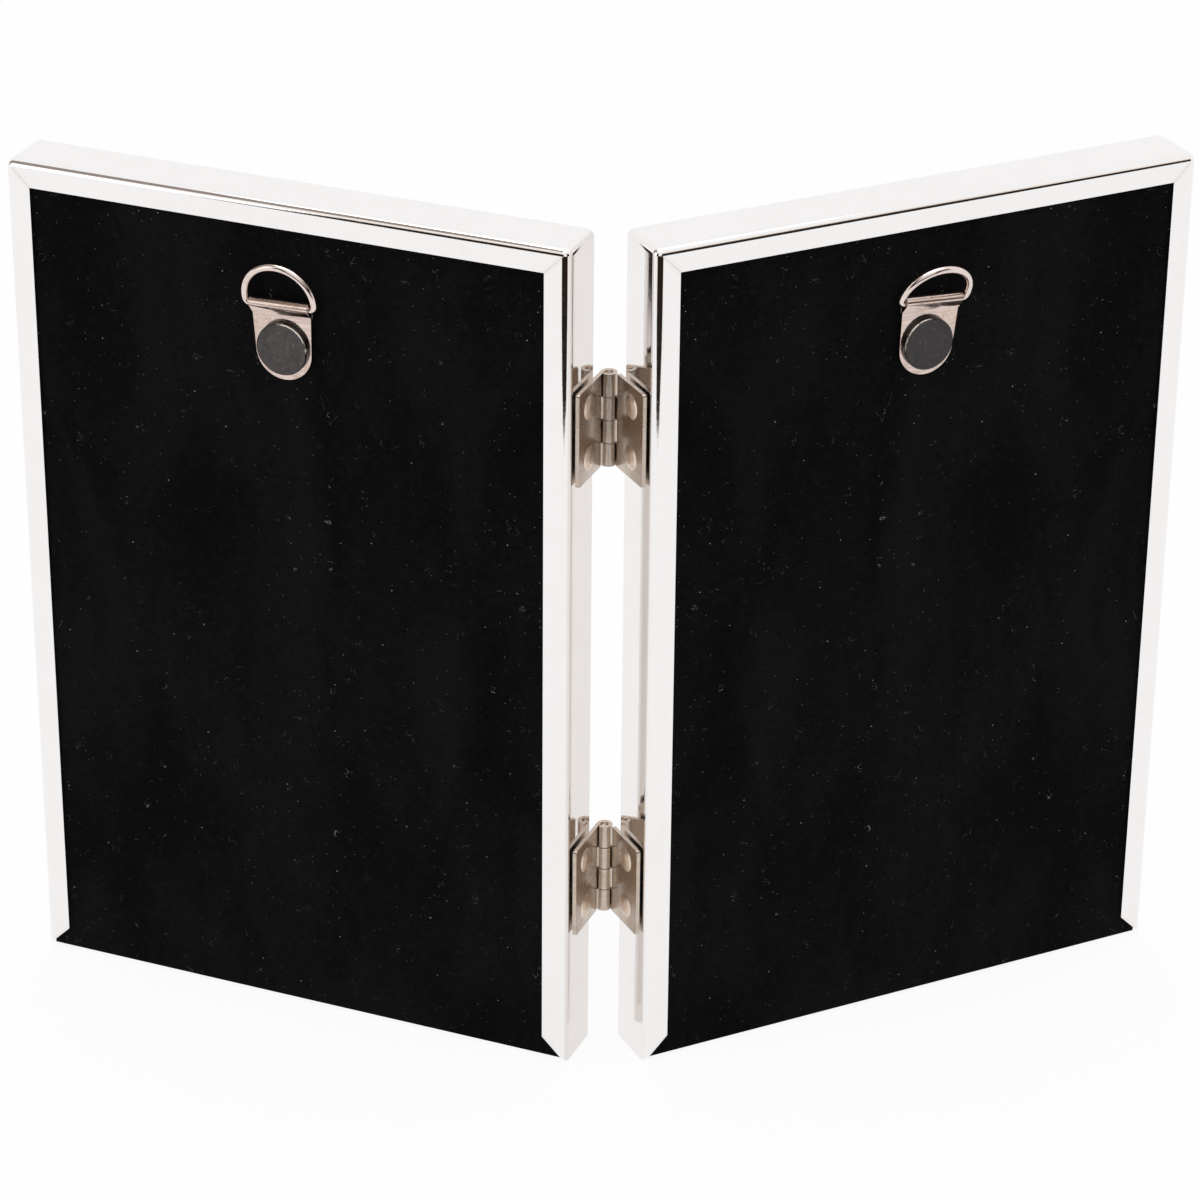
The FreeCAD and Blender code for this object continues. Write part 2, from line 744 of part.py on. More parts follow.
def hinge_rivets(label, hand):
    """Four domed rivets, each through a hinge plate and the wall of the hinge-side rail."""
    lowest = lower_hinge_base + hinge_height / 2 - rivet_pitch / 2
    place = leaf_place(hand).multiply(at(ZERO, rivet_y, lowest))
    body = new_piece(label, place)
    section = new_sketch(body, "XY_Plane", "Section")
    head = hand * (bore_radius - rivet_head_height)
    seat = hand * bore_radius
    inside = hand * (wall_x + metal)
    tail = hand * (wall_x + metal + rivet_tail_height)
    shoulder = hand * (bore_radius - rivet_head_height * rivet_shoulder_rise)
    trace(section, [
        (head, ZERO, None),
        (head, rivet_head_radius * rivet_crown_share, None),
        (shoulder, rivet_head_radius * rivet_shoulder_share, None),
        (seat, rivet_head_radius, None),
        (seat, rivet_radius, None),
        (inside, rivet_radius, None),
        (inside, rivet_tail_radius, None),
        (tail, rivet_tail_radius, None),
        (tail, ZERO, None),
    ])
    rivet = spin(body, section, "H_Axis")
    upright = [feature for feature in body.Origin.OriginFeatures if feature.Role == "Z_Axis"][0]
    repeat = body.newObject("PartDesign::MultiTransform", "Repeat")
    steps = []
    for name, length in (("Pair", rivet_pitch), ("Hinge", upper_hinge_base - lower_hinge_base)):
        step = doc.addObject("PartDesign::LinearPattern", name)
        body.addObject(step)
        step.Direction = (upright, [""])
        step.setExpression("Length", length.formula)
        step.Occurrences = 2
        steps.append(step)
    repeat.Originals = [rivet]
    repeat.Transformations = steps
    body.Tip = repeat
    doc.recompute()
    return body


def hinge_pin(label, base):
    body = new_piece(label, at(ZERO, pin_setback(), base))
    section = new_sketch(body, "XZ_Plane", "Section")
    trace(section, [
        (ZERO, pin_recess, None),
        (pin_radius - pin_chamfer, pin_recess, None),
        (pin_radius, pin_recess + pin_chamfer, None),
        (pin_radius, hinge_height - pin_recess - pin_chamfer, None),
        (pin_radius - pin_chamfer, hinge_height - pin_recess, None),
        (ZERO, hinge_height - pin_recess, None),
    ])
    spin(body, section, "V_Axis")
    return body


for side, hand, first in (("right", 1, 1), ("left", -1, 0)):
    side_rail(side + "_hinge_rail", hand, hand * wall_x, hand, True)
    side_rail(side + "_outer_rail", hand, hand * (wall_x + leaf_width), -hand, False)
    top_rail(side + "_top_rail", hand)
    bottom_rail(side + "_bottom_rail", hand)
    flat_sheet(side + "_glass", hand, glass_front, glass_front + glass_thick, foot_play)
    flat_sheet(side + "_photo_sheet", hand, photo_front, photo_front + photo_thick, foot_play)
    flat_sheet(side + "_spacer_card", hand, card_front, card_back, foot_play)
    back_board(side + "_back_board", hand, side)
    velvet_cover(side + "_velvet_cover", hand, side)
    hanger_strap(side + "_hanger_strap", hand, side)
    hanger_rivet(side + "_hanger_rivet", hand, side)
    d_ring(side + "_d_ring", hand, side)
    hinge_plate(side + "_upper_hinge_plate", hand, upper_hinge_base, first)
    hinge_plate(side + "_lower_hinge_plate", hand, lower_hinge_base, first)
    hinge_rivets(side + "_hinge_rivets", hand)
hinge_pin("upper_hinge_pin", upper_hinge_base)
hinge_pin("lower_hinge_pin", lower_hinge_base)

doc.recompute()

for item in doc.Objects:
    if "Invalid" in item.State or "Error" in item.State:
        raise RuntimeError("%s is in error: %s" % (item.Label, item.State))
for body in pieces:
    if body.Shape.isNull() or not body.Shape.isValid() or not body.Shape.Solids:
        raise RuntimeError("%s has no valid shape" % body.Label)

os.makedirs("parts", exist_ok=True)
for body in pieces:
    body.Shape.exportStep("parts/%s.step" % body.Label)
    box = body.Shape.BoundBox
    print("%-26s solids %d volume %9.2f x %.2f..%.2f y %.2f..%.2f z %.2f..%.2f" % (
        body.Label, len(body.Shape.Solids), body.Shape.Volume,
        box.XMin, box.XMax, box.YMin, box.YMax, box.ZMin, box.ZMax))
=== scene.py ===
import json
import math

import bmesh
import bpy
from mathutils import Euler, Matrix, Vector

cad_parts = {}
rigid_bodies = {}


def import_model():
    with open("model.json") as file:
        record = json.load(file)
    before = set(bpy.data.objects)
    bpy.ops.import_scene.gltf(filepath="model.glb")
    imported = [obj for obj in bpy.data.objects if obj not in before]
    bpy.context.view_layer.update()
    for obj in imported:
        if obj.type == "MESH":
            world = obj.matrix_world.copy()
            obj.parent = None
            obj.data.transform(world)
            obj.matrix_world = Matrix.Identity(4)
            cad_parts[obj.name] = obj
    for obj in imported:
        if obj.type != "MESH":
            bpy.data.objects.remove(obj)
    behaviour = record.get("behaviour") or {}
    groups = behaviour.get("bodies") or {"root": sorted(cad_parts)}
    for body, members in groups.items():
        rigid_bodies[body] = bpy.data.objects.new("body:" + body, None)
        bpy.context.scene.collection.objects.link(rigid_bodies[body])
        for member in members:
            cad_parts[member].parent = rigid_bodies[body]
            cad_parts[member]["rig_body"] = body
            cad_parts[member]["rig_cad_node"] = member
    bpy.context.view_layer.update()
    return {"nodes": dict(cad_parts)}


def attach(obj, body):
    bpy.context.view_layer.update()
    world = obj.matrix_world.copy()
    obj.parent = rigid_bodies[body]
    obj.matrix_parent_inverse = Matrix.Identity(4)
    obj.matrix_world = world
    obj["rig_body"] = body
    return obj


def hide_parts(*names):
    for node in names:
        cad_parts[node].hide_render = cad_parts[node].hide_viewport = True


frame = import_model()

bl_info = {
    "name": "Hinged Double Photo Frame",
    "version": (1, 0, 0),
    "blender": (4, 5, 0),
    "location": "3D View > Sidebar > Photo Frame",
    "description": "Plated rails, velvet backs, hangers and hinges of a standing double photo frame",
    "category": "Object",
}

HANDS = (("right", 1), ("left", -1))
SIDES = {hand: side for side, hand in HANDS}

# Limits and counts of the modelling steps, in metres and radians
SAME_PLACE, MERGE, MIRROR_MERGE = 2e-6, 1e-7, 1e-6
SMOOTH_ANGLE, BURR_ANGLE, FLAT_ANGLE = (math.radians(part) for part in (40, 50, 0.8))
ROD_SIDES, WIRE_SIDES, BEND_STEPS, BOW_STEPS = 40, 24, 6, 20
CORNER_STEPS = (1, 0.8, 0.6, 0.4, 0.2)

# How far each leaf's hinge-side wall takes a painted warm reflection, and how far its rivet cap is scuffed
# and darkened with painted shade
WALL_REFLECTION_SHARE = {1: 0.85, -1: 0.15}
CAP_SCUFF_AND_SHADE = {1: 1.0, -1: 0.5}

# Colours of dirt and wear, and of the painted highlight on the rivet caps
WEAR_AND_HIGHLIGHT = {
    "joint": (0.10, 0.085, 0.075),
    "fine_dust": (0.40, 0.38, 0.42),
    "lint": (0.45, 0.42, 0.46),
    "dust": (0.55, 0.53, 0.56),
    "scratch": (0.22, 0.20, 0.19),
    "cap_dust": (0.34, 0.30, 0.27),
    # painted highlight on the edge of the rivet cap
    "rubbed": (0.72, 0.66, 0.58),
    "clear_glass": (0.97, 0.99, 0.98),
    "glass_dust": (0.8, 0.8, 0.8),
}

# Table, in metres, and the share of its own light in what the camera and the plate see of it
TABLE_WIDTH, TABLE_BACK, TABLE_DROP, TABLE_GLOW = 2.0, 1.2, 0.0002, 0.92

# Soft boxes: place, size and share of the lamp power
SOFT_BOXES = {
    "overhead_box": ((0.0, 0.05, 0.75), (0.6, 0.5), 1.0),
    "side_box": ((0.75, 0.35, 0.40), (0.4, 0.5), 0.5),
}
LAMP_AIM = (0, 0, 0.08)
SENSOR_WIDTH = 36

# What the plate mirrors, as limits on a ray's direction
WHITE = (1.0, 1.0, 1.0)
BELOW_SHIFT = -0.28
CORNERS_ASIDE = (0.35, 0.50)
ROOM_AHEAD, ROOM_TOP, ROOM_COLOUR = (0.48, 0.54), (0.58, 0.52), (0.020, 0.013, 0.010)
BORDER_AHEAD, BORDER_TOP, BORDER_COLOUR = (0.40, 0.48), (0.65, 0.58), (0.95, 0.86, 0.76)
CURTAIN_ASIDE, CURTAIN_FOOT, CURTAIN_TOP = (0.84, 0.90), (0.12, 0.20), (0.97, 0.90)
CURTAIN_COLOUR = (0.32, 0.27, 0.24)


# Sizes and colours that a user would change

def length(name, description, default):
    return bpy.props.FloatProperty(
        name=name, description=description, default=default, min=0, unit="LENGTH", precision=5)


def angle(name, description, default):
    return bpy.props.FloatProperty(
        name=name, description=description, default=math.radians(default), unit="ROTATION")


def share(name, description, default):
    return bpy.props.FloatProperty(
        name=name, description=description, default=default, min=0, max=1, subtype="FACTOR")


def colour(name, description, default):
    return bpy.props.FloatVectorProperty(
        name=name, description=description, default=default, size=3, min=0, max=1, subtype="COLOR")


class LeafSizes(bpy.types.PropertyGroup):
    """Sizes of one leaf, in its own frame: x outward from the hinge pins, y back, z up."""

    width: length("Width", "Outside width of a leaf", 0.1036)
    height: length("Height", "Outside height of a leaf", 0.155)
    depth: length("Depth", "Front face to back face", 0.0112)
    metal: length("Metal", "Sheet metal of the rails", 0.0005)
    flange: length("Flange", "Back flange from the outside of the wall", 0.00455)
    lip: length("Lip", "Front lip from the outside of the wall", 0.006)
    sight_return: length("Sight Return", "Turned sight edge behind the lip", 0.0009)
    back_round: length("Back Round", "Rolled back edge", 0.0015)
    front_round: length("Front Round", "Rolled front edge", 0.001)
    sight_round: length("Sight Round", "Rolled sight edge", 0.0003)
    corner_round: length("Corner Round", "Outline at the two top corners", 0.0014)
    edge_round: length("Edge Round", "Burr taken off the cut edges", 0.00006)
    wall: length("Wall", "Pin axis to the hinge-side wall", 0.0018)
    front: length("Front", "Pin axis to the front face", 0.0018)
    pin_setback: length("Pin Setback", "Pin axis behind the middle of the outline", 0.0152845)
    half_opening: angle("Half Opening", "Each leaf from the plane of the flat frame", 24.18)


class VelvetSizes(bpy.types.PropertyGroup):
    """Velvet cover over each back board."""

    inner: length("Inner Edge", "Pin axis to the cover's inner edge", 0.0028)
    outer: length("Outer Edge", "Pin axis to the cover's outer edge", 0.1044)
    foot: length("Foot", "Table to the cover", 0.0003)
    top: length("Top", "Table to the cover's top edge", 0.154)
    front: length("Front", "Front of the turned edge, from the pin axis", 0.009)
    back: length("Back", "Back of the velvet, from the pin axis", 0.0124)
    thickness: length("Thickness", "Velvet with its backing", 0.0004)
    turn_round: length("Turn", "Rounding where the velvet turns over the board", 0.0006)
    rivet_hole: length("Rivet Hole", "Radius of the hole for the hanger rivet", 0.00165)


class HangerSizes(bpy.types.PropertyGroup):
    """D-ring hangers, set by the rivet axis in each leaf."""

    right_out: length("Right Out", "Right rivet axis from the hinge-side wall", 0.0517)
    right_down: length("Right Down", "Right rivet axis from the top", 0.0257)
    right_turn: angle("Right Turn", "Lean of the right strap", 2.0)
    right_tilt: angle("Right Tilt", "Right ring off the velvet", 12.0)
    left_out: length("Left Out", "Left rivet axis from the hinge-side wall", 0.0512)
    left_down: length("Left Down", "Left rivet axis from the top", 0.0253)
    left_turn: angle("Left Turn", "Lean of the left strap", 4.5)
    left_tilt: angle("Left Tilt", "Left ring off the velvet", 27.0)
    bar_out: length("Bar Out", "Ring bar axis off the velvet", 0.00123)
    bar_rise: length("Bar Rise", "Rivet axis to ring bar axis", 0.0077)
    wire_radius: length("Wire Radius", "Ring wire", 0.00065)
    ring_width: length("Ring Width", "Outside width of the ring", 0.014)
    ring_rise: length("Ring Rise", "Bar axis to the top of the wire's axis", 0.0076)
    ring_bend: length("Ring Bend", "Bend of the wire at the ends of the bar", 0.0009)
    cap_edge: length("Cap Edge", "Chamfer round the rivet cap", 0.00025)
    cap_burr: length("Cap Burr", "Burr taken off the cap's edges", 0.0001)
    strap_burr: length("Strap Burr", "Burr taken off the strap's edges", 0.00007)
    ring_butt: length("Ring Butt", "Gap between the wire's ends", 0.0003)


class HingeSizes(bpy.types.PropertyGroup):
    """Where the hinge rivets pass through the hinge-side walls, and the burrs taken off."""

    lower_base: length("Lower Base", "Table to the lower hinge", 0.0256)
    upper_base: length("Upper Base", "Table to the upper hinge", 0.11205)
    plate_height: length("Plate Height", "Height of a hinge plate", 0.0169)
    rivet_pitch: length("Rivet Pitch", "Between the two rivets of a plate", 0.0093)
    rivet_depth: length("Rivet Depth", "Rivet axis from the pin axis", 0.0069)
    rivet_hole: length("Rivet Hole", "Radius of the holes for the rivets", 0.00105)
    drill_reach: length("Drill Reach", "Length of the rods that cut the holes", 0.004)
    plate_burr: length("Plate Burr", "Burr taken off the plates' edges", 0.00007)
    rivet_burr: length("Rivet Burr", "Burr taken off the rivets and pins", 0.00005)


class FinishColours(bpy.types.PropertyGroup):
    """Colours of the finishes."""

    silver: colour("Silver Plate", "Bright plated rails", (0.90, 0.88, 0.875))
    tarnish: colour("Tarnish", "Thin tarnish in the joints of the plate", (0.50, 0.42, 0.36))
    # painted reflection: this warm tint is laid on the outer face of each hinge-side wall, where it faces
    # the other leaf across the hinges
    painted_wall_reflection: colour("Warm Wall", "Yellowed plate of the hinge-side walls", (0.76, 0.71, 0.68))
    hinge: colour("Hinge Nickel", "Satin nickel of the hinges", (0.60, 0.51, 0.435))
    strap: colour("Strap Nickel", "Brushed nickel of the hanger straps", (0.77, 0.63, 0.57))
    ring: colour("Ring Nickel", "Bright wire of the rings", (0.80, 0.69, 0.64))
    cap: colour("Rivet Cap", "Black of the hanger rivets", (0.045, 0.037, 0.037))
    velvet: colour("Velvet", "Black pile of the backs", (0.0019, 0.0018, 0.0020))
    paper: colour("Photo Paper", "Unprinted photographic paper", (0.80, 0.79, 0.77))
    card: colour("Spacer Card", "Corrugated card", (0.42, 0.31, 0.20))
    board: colour("Board", "Grey board of the backs", (0.24, 0.22, 0.20))


class StudioSettings(bpy.types.PropertyGroup):
    """Camera, lamps and table."""

    camera_place: bpy.props.FloatVectorProperty(
        name="Camera Place", description="Camera position", size=3, subtype="TRANSLATION",
        default=(0.0264452, 0.6805103, 0.4229233))
    camera_turn: bpy.props.FloatVectorProperty(
        name="Camera Turn", description="Camera rotation", size=3, subtype="EULER",
        default=tuple(math.radians(part) for part in (63.1799, -0.4750, 178.0645)))
    focal_length: bpy.props.FloatProperty(
        name="Focal Length", description="Focal length in millimetres on a 36 mm sensor", default=131.226)
    table_front: length("Table Front", "Front edge of the table, from the object", 0.29)
    day_light: share("Soft Light", "Even light from all round", 0.80)
    lamp_power: bpy.props.FloatProperty(
        name="Lamp Power", description="Power of the overhead soft box", default=1.6, unit="POWER")


# Modelling helpers

def alone(piece):
    """Select and activate one piece and nothing else."""
    bpy.ops.object.select_all(action="DESELECT")
    piece.select_set(True)
    bpy.context.view_layer.objects.active = piece


def mode(name):
    bpy.ops.object.mode_set(mode=name)


def block(name, low, high):
    """A cube primitive between two corners, left in edit mode."""
    bpy.ops.object.select_all(action="DESELECT")
    middle = [(a + b) / 2 for a, b in zip(low, high)]
    size = [b - a for a, b in zip(low, high)]
    bpy.ops.mesh.primitive_cube_add(size=1, location=middle, scale=size)
    piece = bpy.context.object
    piece.name = piece.data.name = name
    bpy.ops.object.transform_apply(location=True, rotation=True, scale=True)
    mode("EDIT")
    return piece


def pick(piece, kind, test):
    """In edit mode, select the faces, edges or vertices whose middle passes the test."""
    bpy.ops.mesh.select_all(action="DESELECT")
    bpy.ops.mesh.select_mode(type=kind)
    mesh = bmesh.from_edit_mesh(piece.data)
    elements = {"FACE": mesh.faces, "EDGE": mesh.edges, "VERT": mesh.verts}[kind]
    found = 0
    for element in elements:
        if kind == "VERT":
            middle = element.co
        elif kind == "EDGE":
            middle = (element.verts[0].co + element.verts[1].co) / 2
        else:
            middle = element.calc_center_median()
        if test(middle):
            element.select_set(True)
            found += 1
    if not found:
        raise RuntimeError("%s: nothing to shape" % piece.name)
    mesh.select_flush_mode()
    bmesh.update_edit_mesh(piece.data)


def near(a, b):
    return abs(a - b) < SAME_PLACE


def bevel_edges(piece, test, radius, segments):
    pick(piece, "EDGE", test)
    bpy.ops.mesh.bevel(
        offset=radius, offset_type="OFFSET", segments=segments, affect="EDGES", clamp_overlap=False)


def bisect(point, normal, trim=False):
    """Cut every face along a plane; with trim, take away what is ahead of it and close the cut."""
    bpy.ops.mesh.select_all(action="SELECT")
    bpy.ops.mesh.bisect(plane_co=point, plane_no=normal, use_fill=trim, clear_outer=trim, threshold=MERGE)


def modify(piece, kind, **settings):
    """Add a modifier with these settings and apply it."""
    alone(piece)
    modifier = piece.modifiers.new(kind.title(), kind)
    for name, value in settings.items():
        setattr(modifier, name, value)
    bpy.ops.object.modifier_apply(modifier=modifier.name)


def settle(piece, place):
    """Put the finished mesh at its place, with the piece's object at the origin."""
    if bpy.context.mode != "OBJECT":
        mode("OBJECT")
    piece.data.transform(place)
    if place.determinant() < 0:
        piece.data.flip_normals()


def shade(piece):
    """Shade round bends smooth and leave sharp edges sharp."""
    alone(piece)
    bpy.ops.object.shade_smooth_by_angle(angle=SMOOTH_ANGLE, keep_sharp_edges=False)


def shade_flat_faces(piece):
    """Shade, and keep the flat faces flat beside their rounded edges."""
    shade(piece)
    modify(piece, "WEIGHTED_NORMAL", mode="FACE_AREA", weight=50, keep_sharp=True)


def finish_edges(piece, width):
    """Take the burr off the sharp edges, then shade."""
    modify(piece, "BEVEL", width=width, segments=2, limit_method="ANGLE",
           angle_limit=BURR_ANGLE, offset_type="OFFSET", use_clamp_overlap=True)
    shade_flat_faces(piece)


def drill(piece, cutters):
    """Take a set of rods away from a piece."""
    modify(piece, "BOOLEAN", operation="DIFFERENCE", solver="EXACT", object=cutters)
    bpy.data.objects.remove(cutters)


def rods(radius, spots, axis, reach):
    """Rods of one radius through the spots, along x or y, joined as one cutter."""
    made = []
    turn = (0, math.pi / 2, 0) if axis == "x" else (math.pi / 2, 0, 0)
    for spot in spots:
        bpy.ops.object.select_all(action="DESELECT")
        bpy.ops.mesh.primitive_cylinder_add(
            vertices=ROD_SIDES, radius=radius, depth=reach, location=spot, rotation=turn)
        made.append(bpy.context.object)
    for rod in made:
        rod.select_set(True)
    bpy.context.view_layer.objects.active = made[0]
    if len(made) > 1:
        bpy.ops.object.join()
    bpy.ops.object.transform_apply(location=True, rotation=True, scale=True)
    return made[0]


def leaf_turn(hand):
    """A leaf's turn about the hinge pins."""
    leaf = bpy.context.scene.leaf_sizes
    return Matrix.Translation((0, leaf.pin_setback, 0)) @ Matrix.Rotation(-hand * leaf.half_opening, 4, "Z")


def leaf_frame(hand):
    """From a leaf's own frame, drawn for the right leaf, to the frame's."""
    return leaf_turn(hand) @ Matrix.Scale(hand, 4, (1, 0, 0))


def hanger_spot(side):
    """A hanger rivet's axis in the leaf's own frame: x and z."""
    leaf = bpy.context.scene.leaf_sizes
    hanger = bpy.context.scene.hanger_sizes
    return leaf.wall + getattr(hanger, side + "_out"), leaf.height - getattr(hanger, side + "_down")


def hanger_frame(side, hand):
    """Frame of a hanger: rivet axis along y, and y = 0 on the velvet."""
    out, rise = hanger_spot(side)
    spot = Matrix.Translation((hand * out, bpy.context.scene.velvet_sizes.back, rise))
    lean = getattr(bpy.context.scene.hanger_sizes, side + "_turn")
    return leaf_turn(hand) @ spot @ Matrix.Rotation(hand * lean, 4, "Y")


def dress(thing, material):
    """Give every slot of a mesh this finish."""
    if not thing.material_slots:
        thing.data.materials.append(material)
    for slot in thing.material_slots:
        slot.material = material


def refine(node, name, material, width):
    """A merged copy of a rigid solid, with its burrs taken off and its bends shaded smooth."""
    source = frame["nodes"][node]
    piece = source.copy()
    piece.data = source.data.copy()
    piece.parent = None
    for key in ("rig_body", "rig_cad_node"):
        if key in piece:
            del piece[key]
    piece.name = piece.data.name = name
    bpy.context.scene.collection.objects.link(piece)
    alone(piece)
    mode("EDIT")
    bpy.ops.mesh.select_all(action="SELECT")
    bpy.ops.mesh.remove_doubles(threshold=SAME_PLACE)
    bpy.ops.mesh.dissolve_limited(angle_limit=FLAT_ANGLE)
    mode("OBJECT")
    finish_edges(piece, width)
    take_over(piece, node, material)


def take_over(piece, node, material):
    """Dress the piece like the solid that it stands in for, and let it ride on that solid's body."""
    dress(piece, material)
    dress(frame["nodes"][node], material)
    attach(piece, frame["nodes"][node]["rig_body"])
    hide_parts(node)


# Shader helpers

def put(tree, kind, options=None, **sockets):
    """Add a node; sockets are its inputs by name, each a value or another node's output."""
    node = tree.nodes.new("ShaderNode" + kind)
    for name, value in (options or {}).items():
        setattr(node, name, value)
    return fill(tree, node, **sockets)


def fill(tree, node, **sockets):
    """Feed a node's inputs by name, with _ for a space."""
    for name, value in sockets.items():
        feed(tree, node.inputs[name.replace("_", " ")], value)
    return node


def feed(tree, socket, value):
    if isinstance(value, bpy.types.NodeSocket):
        tree.links.new(value, socket)
    elif value is not None:
        socket.default_value = value


def maths(tree, operation, *values):
    node = put(tree, "Math", {"operation": operation})
    for socket, value in zip(node.inputs, values):
        feed(tree, socket, value)
    return node.outputs[0]


def times(tree, first, second, plus=None):
    """The first times the second, and plus a third where there is one."""
    return maths(tree, "MULTIPLY" if plus is None else "MULTIPLY_ADD", first, second, plus)


def between(tree, value, low, high, start=0.0, end=1.0):
    """A smooth step from start to end while the value goes from low to high."""
    node = put(tree, "MapRange", {"interpolation_type": "SMOOTHSTEP"}, Value=value, From_Min=low,
               From_Max=high, To_Min=start, To_Max=end)
    return node.outputs[0]


def noise(tree, vector, scale, detail=2.0, roughness=0.5, distortion=0.0):
    return put(tree, "TexNoise", None, Vector=vector, Scale=scale, Detail=detail,
               Roughness=roughness, Distortion=distortion).outputs[0]


def stretch(tree, vector, scale, turn=(0, 0, 0)):
    return put(tree, "Mapping", None, Vector=vector, Scale=scale, Rotation=turn).outputs[0]


def mix(tree, factor, first, second):
    """Blend two colours, each a socket or its three shares."""
    node = put(tree, "Mix", {"data_type": "RGBA"})
    feed(tree, node.inputs[0], factor)
    for socket, value in ((node.inputs[6], first), (node.inputs[7], second)):
        feed(tree, socket, value if isinstance(value, bpy.types.NodeSocket) else tuple(value) + (1,))
    return node.outputs[2]


def over(tree, tint, mask, amount, colour):
    """Lay this share of a colour over the tint where the mask is."""
    return mix(tree, times(tree, mask, amount), tint, colour)


def toned(colour, factor):
    return tuple(part * factor for part in colour)


def direct_rays(tree, ray):
    """1 for rays that come straight from the camera, through glass or off a mirror."""
    seen = maths(tree, "MAXIMUM", ray["Is Camera Ray"], ray["Is Transmission Ray"])
    return maths(tree, "MAXIMUM", seen, ray["Is Glossy Ray"])


def new_group(name, inputs, outputs):
    """A node group: its tree, the sockets that it is given and the sockets of its result."""
    tree = bpy.data.node_groups.new(name, "ShaderNodeTree")
    for label, kind, default in inputs:
        socket = tree.interface.new_socket(label, in_out="INPUT", socket_type="NodeSocket" + kind)
        if default is not None:
            socket.default_value = default
    for label, kind in outputs:
        tree.interface.new_socket(label, in_out="OUTPUT", socket_type="NodeSocket" + kind)
    return tree, tree.nodes.new("NodeGroupInput").outputs, tree.nodes.new("NodeGroupOutput").inputs


def use(tree, group, **sockets):
    return put(tree, "Group", {"node_tree": bpy.data.node_groups[group]}, **sockets).outputs


